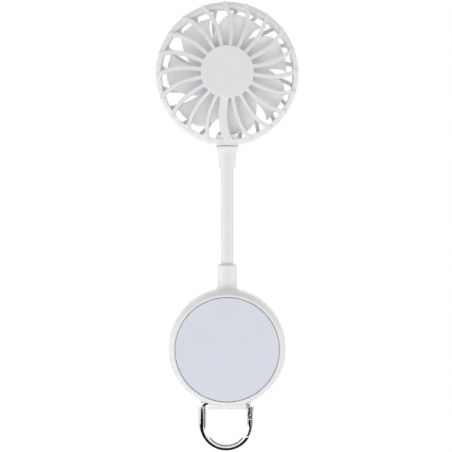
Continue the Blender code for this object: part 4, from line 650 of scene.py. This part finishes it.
def frontShell():
    shape, screw, post, opening = baseShape, screwShape, postShape, openingShape
    seamSide = seamY + gap / 2
    roof = shape["depth"] - shape["wall"]
    corners = [(shape["buttonOpening"], roof, 0), (shape["buttonOpening"], shape["depth"], 0.25)]
    corners += plain(outerCurve(shape["depth"], seamSide) + [(shape["seamRadius"] - shape["wall"], seamSide)]
                     + sideCurve(shape["wall"], seamSide, roof, 8))
    shell = spun("frontShell", corners, steps=shape["steps"])
    bosses = screwRods(screw["boss"], seamSide, screw["bossFront"])
    bosses += [rod("boardPost", post["radius"], post["rear"], post["front"], "Y", (x, 0, z), 32)
               for x, z in post["spots"]]
    holes = screwRods(screw["bore"], screw["boreRear"], screw["tip"], 32)
    holes += [rod("postHole", post["bore"], post["boreRear"], post["boreFront"], "Y", (x, 0, z), 24)
              for x, z in post["spots"][:2]]
    holes.append(rod("lightHole", opening["light"], opening["lightRear"], opening["lightFront"], "Y",
                     (0, 0, opening["lightZ"]), 32))
    low, high = cadBox("usb_c_socket")
    holes.append(box("portOpening", (low.x + opening["portDepth"], low.y - gap, low.z - gap),
                     (shape["seamRadius"] + 1, high.y + gap, high.z + gap), opening["portRounding"]))
    assembled(shell, shellInside(seamSide, shape["bedFront"]) + bosses, baseCutters() + holes,
              "base", whitePlastic, "white_plastic", "front_housing")


def magnetPlate():
    low, high = cadBox("magnet_plate")
    corners = [(0, low.y, 0), (high.x, low.y, 0.18), (high.x, high.y, 0), (0, high.y, 0)]
    finished(spun("magnetPlate", corners, steps=192), "base", plateGloss, "plate_gloss", "magnet_plate")


rearShell()
frontShell()
magnetPlate()
print("base modelled")


# Button, light pipe and charging socket on the front

buttonShape = {"radius": 6.0, "flange": 7.2, "rear": 14.4, "flangeFront": 15.1, "face": 17.6, "rim": 0.9,
               "dishDepth": 0.3, "dishSteps": 8, "stem": 1.5, "hollow": 4.8, "roof": 16.4}
pipeShape = {"radius": 0.8, "flangeRear": 14.4, "flangeFront": 15.1, "steps": 40}
portShape = {"rounding": 1.45, "wall": 0.3, "back": 1.0, "mouthDepth": 4.6, "tongue": (0.7, 6.7),
             "tongueRear": 2.0, "tongueInset": 1.0, "tongueRounding": 0.15}


def powerButton():
    shape = buttonShape
    corners = [(0, shape["rear"], 0), (shape["stem"], shape["rear"], 0.1), (shape["stem"], shape["roof"], 0),
               (shape["hollow"], shape["roof"], 0), (shape["hollow"], shape["rear"], 0),
               (shape["flange"], shape["rear"], 0.1), (shape["flange"], shape["flangeFront"], 0.1),
               (shape["radius"], shape["flangeFront"], 0), (shape["radius"], shape["face"], 0.35)]
    reach = shape["radius"] - shape["rim"]
    for index in range(shape["dishSteps"] + 1):
        radius = reach * (1 - index / shape["dishSteps"])
        sink = shape["dishDepth"] * math.cos(math.radians(90 * radius / reach))
        corners.append((radius, shape["face"] - sink, 0))
    finished(spun("powerButton", corners), "button", whitePlastic, "white_plastic", "power_button")


def lightPipe():
    low, high = cadBox("led_light_pipe")
    radius, rear, front = pipeShape["radius"], pipeShape["flangeRear"], pipeShape["flangeFront"]
    corners = [(0, low.y, 0), (radius, low.y, 0.08), (radius, rear, 0), (high.x, rear, 0.1),
               (high.x, front, 0.1), (radius, front, 0), (radius, high.y, 0.2), (0, high.y, 0)]
    pipe = spun("lightPipe", corners, centre=(0, 0, (low.z + high.z) / 2), steps=pipeShape["steps"])
    finished(pipe, "base", clearPipe, "clear_plastic", "led_light_pipe")


def chargingSocket():
    # a plated shell round a dark moulding: a block at the back of the mouth and the tongue that stands on it
    shape = portShape
    low, high = cadBox("usb_c_socket")
    wall, rounding = shape["wall"], shape["rounding"]
    innerLow = (low.x + shape["back"], low.y + wall, low.z + wall)
    shell = box("chargingSocket", low, high, rounding)
    hollow = box("socketHollow", innerLow, (high.x + 1.0, high.y - wall, high.z - wall), rounding - wall)
    carve(shell, "DIFFERENCE", [hollow])
    core = box("socketCore", innerLow, (high.x - shape["mouthDepth"], high.y - wall, high.z - wall),
               rounding - wall)
    middle = (low.y + high.y) / 2
    thick, wide = shape["tongue"]
    tongue = box("socketTongue", (low.x + shape["tongueRear"], middle - thick / 2, -wide / 2),
                 (high.x - shape["tongueInset"], middle + thick / 2, wide / 2),
                 shape["tongueRounding"], segments=2)
    carve(core, "UNION", [tongue])
    finished(core, "base", darkPlastic, "dark_plastic", "usb_c_socket")
    finished(shell, "base", platedSteel, "steel", "usb_c_socket")


powerButton()
lightPipe()
chargingSocket()
print("button and sockets modelled")


# Bendable neck: a smooth sleeve and the motor's cable, in a length for each of the neck's joints

neckShape = {"sleeveRadius": 3.2, "sleeveWall": 0.55, "sleeveSteps": 48, "rings": 6, "cableRadius": 0.8,
             "cableSteps": 16}
neckPitch = jointAt[neckJoints[1]["name"]].z - jointAt[neckJoints[0]["name"]].z
sleeveLow, sleeveHigh = cadBox("neck_sleeve")


def ringHeights(low, high, middle):
    # the ends of a length, with the even rings between them
    rings = neckShape["rings"]
    levels = [middle + neckPitch * (step / rings - 0.5) for step in range(rings + 1)]
    return sorted(z for z in {low, high, *levels} if low <= z <= high)


def bendingLength(piece, material, slotName, node):
    finished(piece, None, material, slotName, node)
    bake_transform(piece)


for index, joint in enumerate(neckJoints):
    middle = jointAt[joint["name"]].z
    near, far = middle - neckPitch / 2, middle + neckPitch / 2
    low = sleeveLow.z if index == 0 else near
    high = sleeveHigh.z if index == len(neckJoints) - 1 else far
    heights = ringHeights(low, high, middle)
    radius = neckShape["sleeveRadius"]
    inner = radius - neckShape["sleeveWall"]
    corners = plain([(radius, z) for z in heights] + [(inner, z) for z in reversed(heights)])
    sleeve = spun(f"neckSleeve{index + 1:02d}", corners, "Z", neckAxis, neckShape["sleeveSteps"], 50)
    bendingLength(sleeve, neckSilicone, "neck_silicone", "neck_sleeve")
    rings = [(neckShape["cableRadius"], z) for z in ringHeights(near, far, middle)]
    corners = plain([(0, near)] + rings + [(0, far)])
    cable = spun(f"neckCable{index + 1:02d}", corners, "Z", neckAxis, neckShape["cableSteps"], 50)
    bendingLength(cable, cableSheath, "cable", "motor_cable")
print("neck modelled")


# Collar: a tapered socket for the neck, whose flanged stem the two guards trap

collarShape = {"radius": 4.45, "foot": 92.05, "shoulder": 98.5, "flange": 101.3, "top": 102.6,
               "flangeRadius": 5.5, "bore": 3.5, "floor": 99.7, "stem": 3.0, "rim": 4.0,
               "rimHeight": 1.0, "stemBore": 2.2, "end": 105.6, "steps": 72}


def headCollar():
    shape = collarShape
    corners = [(shape["bore"], shape["foot"], 0.15), (shape["radius"], shape["foot"], 0.35),
               (shape["radius"], shape["shoulder"], 1.2)]
    rise = shape["flange"] - shape["shoulder"]
    spread = shape["flangeRadius"] - shape["radius"]
    corners += [(shape["radius"] + spread * share ** 2, shape["shoulder"] + rise * share, 0)
                for share in (index / 8 for index in range(1, 8))]
    rimFoot = shape["end"] - shape["rimHeight"]
    corners += [(shape["flangeRadius"], shape["flange"], 0.15), (shape["flangeRadius"], shape["top"], 0.3),
                (shape["stem"], shape["top"], 0), (shape["stem"], rimFoot, 0), (shape["rim"], rimFoot, 0.1),
                (shape["rim"], shape["end"], 0.2), (shape["stemBore"], shape["end"], 0.1),
                (shape["stemBore"], shape["floor"], 0), (shape["bore"], shape["floor"], 0)]
    collar = spun("headCollar", corners, "Z", neckAxis, shape["steps"])
    finished(collar, "head", whitePlastic, "white_plastic", "head_collar")


headCollar()


# Guards: a ring, a centre disc and twenty swirling spokes on each

guardShape = {"ringRadius": 36.3, "rearInner": 33.75, "frontInner": 33.45, "flare": 1.0, "draft": 0.1,
              "rearY": (4.0, 5.0), "frontY": (15.3, 16.0), "seam": 12.0, "lip": 2.35, "lipWall": 0.85,
              "discRadius": 13.3, "discThickness": 1.4, "rearDisc": 0.6, "discEdge": 0.45, "cupInner": 10.3,
              "cupOuter": 11.2, "cupEnd": 6.0, "steps": 192, "discSteps": 120}
spokeShape = {"count": 20, "rearStart": 84.0, "frontStart": 17.4, "sweep": 12.0, "dip": 4.0, "root": 12.3,
              "curveEnd": 35.1, "rearY": 1.0, "slope": 0.125, "rounding": 0.32, "stations": 16,
              "bar": (1.85, 2.6, 36.0), "wide": 10, "wideBar": (4.3, 2.9, 35.1)}  # bars: width, depth, end
bossShape = {"halfWidth": 5.6, "rear": 4.6, "foot": -36.7, "top": -31.4, "rounding": 0.45, "stemBore": 3.3,
             "chamber": 4.3, "chamberFloor": -35.3, "slotHalf": 1.8, "slot": (3.1, 5.6), "roomTop": 6.3,
             "roomDepth": (7.0, 13.0), "steps": 56}
channelShape = {"skin": 0.85, "halfWidth": 1.1, "halfDepth": 2.55, "start": 9.0, "inset": 0.4, "stations": 14}
wideStart = spokeShape["rearStart"] + 360 * spokeShape["wide"] / spokeShape["count"]
bossFoot = headCentre.z + bossShape["foot"]
bossTop = headCentre.z + bossShape["top"]


def spokeAngle(radius, start, sense):
    t = (radius - guardShape["discRadius"]) / (spokeShape["curveEnd"] - guardShape["discRadius"])
    return start + sense * (spokeShape["sweep"] * t * t - spokeShape["dip"] * t)


def spokeRear(radius):
    return spokeShape["rearY"] + spokeShape["slope"] * (radius - guardShape["discRadius"])


def spoke(start, size, front):
    # one bar with rounded edges, swept along its swirl from under the disc to past the ring
    width, depth, end = size
    points = []
    for index in range(spokeShape["stations"] + 1):
        radius = spokeShape["root"] + (end - spokeShape["root"]) * index / spokeShape["stations"]
        y = spokeRear(radius) + depth / 2
        spot = ringSpot(radius, spokeAngle(radius, start, -1 if front else 1))
        points.append(headCentre + spot + Vector((0, 2 * seamY - y if front else y, 0)))
    bm = bmesh.new()
    aim = (points[1] - points[0]).normalized()
    side = aim.cross(Vector((0, 1, 0))).normalized()
    sweep(bm, squareRing(bm, points[0], side * width / 2, side.cross(aim) * depth / 2), points)
    softenEdges(bm, spokeShape["rounding"], 3)
    return toPiece(bm, "spoke")


def spokes(firstAngle, front=False):
    shape = spokeShape
    return [spoke(firstAngle + 360 * number / shape["count"],
                  shape["wideBar" if number == shape["wide"] and not front else "bar"], front)
            for number in range(shape["count"])]


def bossBlock(rear, front):
    half = bossShape["halfWidth"]
    return box("bossBlock", (-half, rear, bossFoot), (half, front, bossTop), bossShape["rounding"], "Z", 4)


def bossCutters(roomRear, roomFront):
    # the collar's stem and its chamber, and the room for the other guard's half of the boss
    shape = bossShape
    half = shape["halfWidth"] + gap
    return [rod("stemBore", shape["stemBore"], bossFoot - 1, bossTop + gap, "Z", neckAxis, shape["steps"]),
            rod("stemChamber", shape["chamber"], headCentre.z + shape["chamberFloor"], bossTop + gap, "Z",
                neckAxis, shape["steps"]),
            box("bossRoom", (-half, roomRear, bossFoot - 1), (half, roomFront, bossFoot + shape["roomTop"]))]


def cableChannel():
    # the open channel in the wide spoke, from the motor's cup to the boss
    shape, guard = channelShape, guardShape
    spots = []
    for index in range(shape["stations"] + 1):
        reach = guard["rearInner"] - shape["inset"] - shape["start"]
        radius = shape["start"] + reach * index / shape["stations"]
        rear = max(spokeRear(radius) + shape["skin"], guard["rearDisc"] + guard["discThickness"] - 0.1)
        spots.append(headCentre + ringSpot(radius, spokeAngle(radius, wideStart, 1))
                     + Vector((0, rear + shape["halfDepth"], 0)))
    bm = bmesh.new()
    side = (spots[1] - spots[0]).cross(Vector((0, 1, 0))).normalized()
    sweep(bm, squareRing(bm, spots[0], side * shape["halfWidth"], Vector((0, shape["halfDepth"], 0))), spots)
    return toPiece(bm, "cableChannel")


def rearGuard():
    shape, boss = guardShape, bossShape
    radius, inner = shape["ringRadius"], shape["rearInner"]
    lap = shape["frontInner"] + shape["lipWall"] + gap
    ringEnd = shape["seam"] - gap / 2
    lapEnd = ringEnd - shape["lip"]
    corners = [(inner, shape["rearY"][0], 0.3), (radius - shape["draft"], shape["rearY"][1], 0.7),
               (radius, ringEnd, 0.12), (lap, ringEnd, 0), (lap, lapEnd, 0), (inner, lapEnd, 0)]
    guard = spun("rearGuard", corners, centre=headCentre, steps=shape["steps"])
    front = shape["rearDisc"] + shape["discThickness"]
    corners = [(0, shape["rearDisc"], 0), (shape["discRadius"], shape["rearDisc"], shape["discEdge"]),
               (shape["discRadius"], front, 0), (shape["cupOuter"], front, 0),
               (shape["cupOuter"], shape["cupEnd"], 0.15), (shape["cupInner"], shape["cupEnd"], 0.15),
               (shape["cupInner"], front, 0), (0, front, 0)]
    disc = spun("rearDisc", corners, centre=headCentre, steps=shape["discSteps"])
    added = [disc] + spokes(spokeShape["rearStart"]) + [bossBlock(boss["rear"], seamY - gap / 2)]
    slotRear = spokeRear(inner) + channelShape["skin"]
    slot = box("cableSlot", (-boss["slotHalf"], slotRear, bossFoot + boss["slot"][0]),
               (boss["slotHalf"], seamY, bossFoot + boss["slot"][1]))
    *stem, room = bossCutters(seamY - gap / 2, boss["roomDepth"][1])
    assembled(guard, added, stem + [cableChannel(), slot, room], "head", guardPlastic, "guard_plastic",
              "rear_guard")


def frontGuard():
    shape, boss = guardShape, bossShape
    radius, inner = shape["ringRadius"], shape["frontInner"]
    lip = inner + shape["lipWall"]
    rear = shape["seam"] + gap / 2
    lipRear = shape["seam"] - shape["lip"] + gap / 2
    corners = [(inner, lipRear, 0.12), (lip, lipRear, 0.12), (lip, rear, 0), (radius, rear, 0.12),
               (radius - shape["draft"], shape["frontY"][0], 0.7),
               (inner + shape["flare"], shape["frontY"][1], 0.3)]
    guard = spun("frontGuard", corners, centre=headCentre, steps=shape["steps"])
    face = 2 * seamY - shape["rearDisc"]
    corners = [(0, face - shape["discThickness"], 0), (shape["discRadius"], face - shape["discThickness"], 0),
               (shape["discRadius"], face, shape["discEdge"]), (0, face, 0)]
    disc = spun("frontDisc", corners, centre=headCentre, steps=shape["discSteps"])
    block = bossBlock(seamY + gap / 2, 2 * seamY - boss["rear"])
    assembled(guard, [disc] + spokes(spokeShape["frontStart"], True) + [block],
              bossCutters(boss["roomDepth"][0], seamY + gap / 2), "head", guardPlastic, "guard_plastic",
              "front_guard")


rearGuard()
frontGuard()
print("guards modelled")


# Impeller: seven swept blades on a cup-shaped hub

bladeShape = {"count": 7, "firstAngle": 71.4, "tipRadius": 30.9, "halfAngle": 17.0, "sweepRate": 2.15,
              "heelTurn": 7.0, "heelReach": 3.5, "leadY": 7.0, "trailY": 13.2, "camber": 0.5,
              "thickness": 0.9, "corner": 2.5, "root": 11.5, "crowding": 1.35, "edge": 0.3,
              "chordSteps": 14, "radialSteps": 16}
hubShape = {"radius": 12.0, "wall": 1.0, "rear": 6.8, "front": 15.7, "face": 1.2, "edge": 0.9, "boss": 2.5,
            "bossRear": 12.6, "shaftBore": 1.3, "steps": 112}


def blade(tipAngle):
    # a flat grid that is bent to the blade's middle surface and given its thickness
    shape = bladeShape
    tip, corner = shape["tipRadius"], shape["corner"]
    bm = bmesh.new()
    bmesh.ops.create_grid(bm, x_segments=shape["chordSteps"], y_segments=shape["radialSteps"], size=0.5)
    for vert in bm.verts:
        s, t = vert.co.x + 0.5, vert.co.y + 0.5
        radius = shape["root"] + (tip - shape["root"]) * (1 - (1 - t) ** shape["crowding"])
        inward = tip - radius
        into = max(0.0, radius - (tip - corner))
        trim = corner - math.sqrt(max(0.0, corner ** 2 - into ** 2))
        trailing = shape["heelTurn"] * (1 - math.exp(-inward / shape["heelReach"])) - shape["halfAngle"]
        leading = shape["sweepRate"] * inward + shape["halfAngle"] - math.degrees(trim / radius)
        angle = tipAngle + trailing + (leading - trailing) * s
        y = shape["trailY"] + (shape["leadY"] - shape["trailY"]) * s - 4 * shape["camber"] * s * (1 - s)
        vert.co = headCentre + ringSpot(radius, angle) + Vector((0, y, 0))
    bmesh.ops.recalc_face_normals(bm, faces=bm.faces)
    bmesh.ops.solidify(bm, geom=bm.faces[:], thickness=shape["thickness"])
    softenEdges(bm, shape["edge"], 3)
    return toPiece(bm, "blade", 40)


def impeller():
    shape = hubShape
    inner, roof = shape["radius"] - shape["wall"], shape["front"] - shape["face"]
    corners = [(shape["shaftBore"], shape["bossRear"], 0.1), (shape["boss"], shape["bossRear"], 0.15),
               (shape["boss"], roof, 0.3), (inner, roof, 0.5), (inner, shape["rear"], 0.2),
               (shape["radius"], shape["rear"], 0.2), (shape["radius"], shape["front"], shape["edge"]),
               (shape["shaftBore"], shape["front"], 0.1)]
    wheel = spun("impeller", corners, centre=headCentre, steps=shape["steps"])
    carve(wheel, "UNION", [blade(bladeShape["firstAngle"] + 360 * number / bladeShape["count"])
                           for number in range(bladeShape["count"])], 38)
    finished(wheel, "rotor", bladePlastic, "blade_plastic", "impeller")


impeller()
print("impeller modelled")


# Motor cable's ends: out of the board in the base, and over the stem and down the wide spoke in the head

cableShape = {"behindBoard": 9.5, "tail": (15.0, 19.4), "straight": 29.0, "bendRise": 0.6, "bendY": 4.1,
              "bendZ": 4.0, "lead": (31.1, 10.3), "leadPoints": 9, "tailSpacing": 1.0, "leadSpacing": 0.7}


def smoothed(points, spacing):
    # even points on a smooth curve through the route's own points
    points = [Vector(point) for point in points]
    ends = [points[0] * 2 - points[1]] + points + [points[-1] * 2 - points[-2]]
    dense = []
    for a, b, c, d in zip(ends, ends[1:], ends[2:], ends[3:]):
        for step in range(12):
            t = step / 12
            dense.append((b * 2 + (c - a) * t + (a * 2 - b * 5 + c * 4 - d) * t ** 2
                          + (b * 3 - a - c * 3 + d) * t ** 3) / 2)
    dense.append(points[-1])
    kept = [dense[0]]
    for point in dense[1:-1]:
        if (point - kept[-1]).length >= spacing:
            kept.append(point)
    return kept + [dense[-1]]


def motorCable():
    shape, radius = cableShape, neckShape["cableRadius"]
    firstJoint, lastJoint = jointAt[neckJoints[0]["name"]].z, jointAt[neckJoints[-1]["name"]].z
    tail = [(0, shape["behindBoard"], z) for z in shape["tail"]]
    tail += [(0, seamY, shape["straight"]), (0, seamY, firstJoint - neckPitch / 2)]
    piece = roundSweep("cableTail", smoothed(tail, shape["tailSpacing"]), radius)
    finished(piece, "base", cableSheath, "cable", "motor_cable")
    bend = arc((seamY - shape["bendY"], bossFoot + shape["bendRise"]), (shape["bendY"], shape["bendZ"]),
               0, 90, 4)
    route = [(0, seamY, lastJoint + neckPitch / 2), (0, seamY, bossFoot - 3)] + [(0, y, z) for y, z in bend]
    outer, inner = shape["lead"]
    lift = channelShape["skin"] + gap + radius
    discFront = guardShape["rearDisc"] + guardShape["discThickness"]
    for index in range(shape["leadPoints"]):
        at = outer + (inner - outer) * index / (shape["leadPoints"] - 1)
        y = max(spokeRear(at) + lift, discFront + gap + radius)
        route.append(headCentre + ringSpot(at, spokeAngle(at, wideStart, 1)) + Vector((0, y, 0)))
    piece = roundSweep("cableLead", smoothed(route, shape["leadSpacing"]), radius)
    finished(piece, "head", cableSheath, "cable", "motor_cable")


motorCable()


# Spring-gate clip

clipShape = {"half": 12.2, "leg": 11.2, "wire": 1.85, "corner": 2.45, "pinDrop": 6.7, "pinRadius": 0.55,
             "pinInset": 0.15, "pinEdge": 0.2, "holeRoom": 0.06, "tongue": 1.3, "tongueRadius": 1.7,
             "tongueRoom": 0.1, "tongueEdge": 0.12, "strapInset": 0.4, "gateWire": 1.45, "shoulder": 2.2,
             "splitDrop": 17.8, "slotRoom": 0.6, "springBore": 0.77, "springRoom": (-0.4, 1.4),
             "sides": 40, "overrun": 6.0, "domeSteps": 7}
wireRoom = 2 * clipShape["wire"]
splitAngle = math.degrees(math.asin((clipShape["splitDrop"] - clipShape["leg"]) / clipShape["half"]))


def pinRod(name, radius, reach, steps, rounding=0.0):
    return rod(name, radius, seamY - reach, seamY + reach, "Y", (pin.x, 0, pin.z), steps, rounding)


def clipHook():
    shape = clipShape
    half, corner, pinZ, drop = shape["half"], shape["corner"], -shape["pinDrop"], -shape["leg"]
    path = [(half, pinZ), (half, (pinZ - corner) / 2)]
    path += arc((half - corner, -corner), (corner, corner), 0, 90, 14)
    path += [(half / 2, 0), (-half / 2, 0)]
    path += arc((corner - half, -corner), (corner, corner), 90, 180, 14)
    path += arc((0, drop), (half, half), 180, 360 - splitAngle + shape["overrun"], 56)
    points = [bar + Vector((x, 0, z)) for x, z in path]
    dome = [math.radians(6 + 12 * step) for step in range(shape["domeSteps"])]
    start = [points[0] - Vector((0, 0, shape["wire"] * math.cos(angle))) for angle in dome]
    sizes = [math.sin(angle) for angle in dome] + [1.0] * len(points)
    hook = roundSweep("clipHook", start + points, shape["wire"], shape["sides"], sizes)
    slotHalf = shape["tongue"] / 2 + gap
    slotTop = bar.z + pinZ + shape["tongueRadius"] + shape["slotRoom"]
    springLow, springHigh = shape["springRoom"]
    cuts = [box("gateSlot", (pin.x - wireRoom, seamY - slotHalf, pin.z - wireRoom),
                (pin.x + wireRoom, seamY + slotHalf, slotTop)),
            box("noseCut", (pin.x - half / 2, seamY - wireRoom, bar.z - shape["splitDrop"] - gap / 2),
                (pin.x + wireRoom, seamY + wireRoom, bar.z + drop)),
            pinRod("pinHole", shape["pinRadius"] + shape["holeRoom"], wireRoom, 32),
            rod("springBore", shape["springBore"], slotTop + springLow, slotTop + springHigh, "Z",
                (pin.x, seamY, 0), 24)]
    carve(hook, "DIFFERENCE", cuts, 40)
    finished(hook, "clip", chrome, "chrome", "carabiner_hook")


def gatePin():
    shape = clipShape
    piece = pinRod("gatePin", shape["pinRadius"], shape["wire"] - shape["pinInset"], 40, shape["pinEdge"])
    finished(piece, "clip", chrome, "chrome", "gate_pin")


def clipGate():
    shape = clipShape
    half, flat = shape["half"], shape["tongue"] / 2
    drop, splitZ = shape["pinDrop"] - shape["leg"], shape["pinDrop"] - shape["splitDrop"]
    path = [(0, -shape["shoulder"]), (0, drop)]
    path += arc((-half, drop), (half, half), 0, -splitAngle - shape["overrun"], 24)[1:]
    points = [pin + Vector((x, 0, z)) for x, z in path]
    gate = roundSweep("clipGate", points, shape["gateWire"], shape["sides"])
    tip = box("tipCut", (pin.x - half, seamY - wireRoom, pin.z + splitZ - wireRoom),
              (pin.x + wireRoom, seamY + wireRoom, pin.z + splitZ + gap / 2))
    carve(gate, "DIFFERENCE", [tip], 40)
    eye = pinRod("tongueEye", shape["tongueRadius"], flat, 48, shape["tongueEdge"])
    strapHalf = shape["tongueRadius"] - shape["strapInset"]
    strap = box("tongueStrap", (pin.x - strapHalf, seamY - flat, pin.z - shape["shoulder"] - 1),
                (pin.x + strapHalf, seamY + flat, pin.z), 0.1, "Z", 2)
    carve(gate, "UNION", [eye, strap], 40)
    bore = pinRod("tongueBore", shape["pinRadius"] + shape["tongueRoom"], wireRoom, 32)
    carve(gate, "DIFFERENCE", [bore], 40)
    finished(gate, "gate", chrome, "chrome", "carabiner_gate")


clipHook()
gatePin()
clipGate()
print("clip modelled")


# Finishes of the CAD nodes that show as they are: plated steel, unless they are named here

nodeFinish = {"magnet_ring": magnetNickel, "battery_cell": batteryFoil, "circuit_board": boardMask,
              "switch_plunger": darkPlastic, "indicator_led": clearPipe, "motor_end_cap": darkPlastic,
              "motor_bush": bushBronze, "motor_field_magnet": magnetNickel, "motor_armature": copperWinding}
for name, node in frame["nodes"].items():
    if not node.hide_render:
        node.data.materials.clear()
        node.data.materials.append(nodeFinish.get(name, platedSteel))


# Room: a pale floor, soft light, a white background, and dark backdrops for the chrome to mirror

room = {"floorZ": -1500.0, "floorSize": 12000.0, "floorColour": (0.86, 0.86, 0.86), "floorGlow": 1.15,
        "floorGlowShare": 0.8, "worldLight": 0.61, "lampAim": (0, 0, 50),
        "lamps": {"keyLamp": ((-80.0, -1400.0, -1150.0), 1050.0, 12.5),
                  "leftLamp": ((-730.0, -60.0, 50.0), 420.0, 1.4),
                  "rightLamp": ((730.0, -60.0, 50.0), 420.0, 1.1),
                  "backLamp": ((0.0, 1200.0, -100.0), 1400.0, 4.8)},
        "cards": {"lowCard": (0.012, (-450.0, -540.0, -161.0), (240.0, 46.0, -160.0)),
                  "lowBackCard": (0.012, (-400.0, 290.0, -161.0), (400.0, 620.0, -160.0)),
                  "overCard": (0.16, (-900.0, -760.0, 420.0), (900.0, -40.0, 422.0)),
                  "sideCard": (0.15, (120.0, -130.0, -240.0), (122.0, 9.7, -50.0))}}


def seenThrough(finish):
    # 1 for rays that come from the camera, or from it by way of gloss or glass
    path = "ShaderNodeLightPath"
    seen = finish.node(path, output="Is Camera Ray")
    for name in ("Is Glossy Ray", "Is Transmission Ray"):
        seen = seen.maths("MAXIMUM", seen, finish.node(path, output=name))
    return seen


def whiteRoom():
    world = Finish("paleRoom", "worlds", "Background", Color=(1, 1, 1, 1))
    strength = world.node("ShaderNodeMapRange",
                          inputs={"Value": seenThrough(world), "To Min": room["worldLight"], "To Max": 1.0})
    bpy.context.scene.world = world.give(Strength=strength)


def paleFloor():
    bm = bmesh.new()
    bmesh.ops.create_grid(bm, x_segments=1, y_segments=1, size=room["floorSize"] / 2 * mm)
    mesh = bpy.data.meshes.new("floor")
    bm.to_mesh(mesh)
    bm.free()
    floor = bpy.data.objects.new("floor", mesh)
    floor.location = (0, 0, room["floorZ"] * mm)
    addToScene(floor)
    # the glow only shows to the camera, gloss and glass, and the shadow stays in the rest
    paint = Finish("floorPaint", Roughness=0.9, Base_Color=tint(room["floorColour"]))
    glow = paint.node("ShaderNodeEmission", inputs={"Strength": room["floorGlow"]})
    blend = paint.node("ShaderNodeMixShader", inputs={0: seenThrough(paint) * room["floorGlowShare"],
                                                      1: Socket(paint, paint.shader.outputs[0]), 2: glow})
    paint.feed(paint.tree.nodes["Material Output"].inputs["Surface"], blend)
    mesh.materials.append(paint.owner)


def mirroredCards():
    # a studio's black and grey backdrops, well clear of the fan: only gloss sees them, and the chrome most
    for name, (shade, low, high) in room["cards"].items():
        card = toPiece(boxMesh(low, high), name)
        paint = Finish(name + "Paint", Roughness=1.0, Specular_IOR_Level=0.0,
                       Base_Color=(shade, shade * 0.94, shade * 0.86, 1))
        card.data.materials.append(paint.owner)
        card.visible_camera = card.visible_diffuse = card.visible_shadow = card.visible_transmission = False


def softLamp(name, spot, size, power):
    data = bpy.data.lights.new(name, "AREA")
    data.shape = "DISK"
    data.size = size * mm
    data.energy = power
    lamp = bpy.data.objects.new(name, data)
    lamp.location = Vector(spot) * mm
    lamp.rotation_euler = (Vector(room["lampAim"]) - Vector(spot)).to_track_quat("-Z", "Y").to_euler()
    addToScene(lamp)


whiteRoom()
paleFloor()
mirroredCards()
for name, (spot, size, power) in room["lamps"].items():
    softLamp(name, spot, size, power)
bpy.context.scene.view_settings.view_transform = "Standard"
print("room lit")
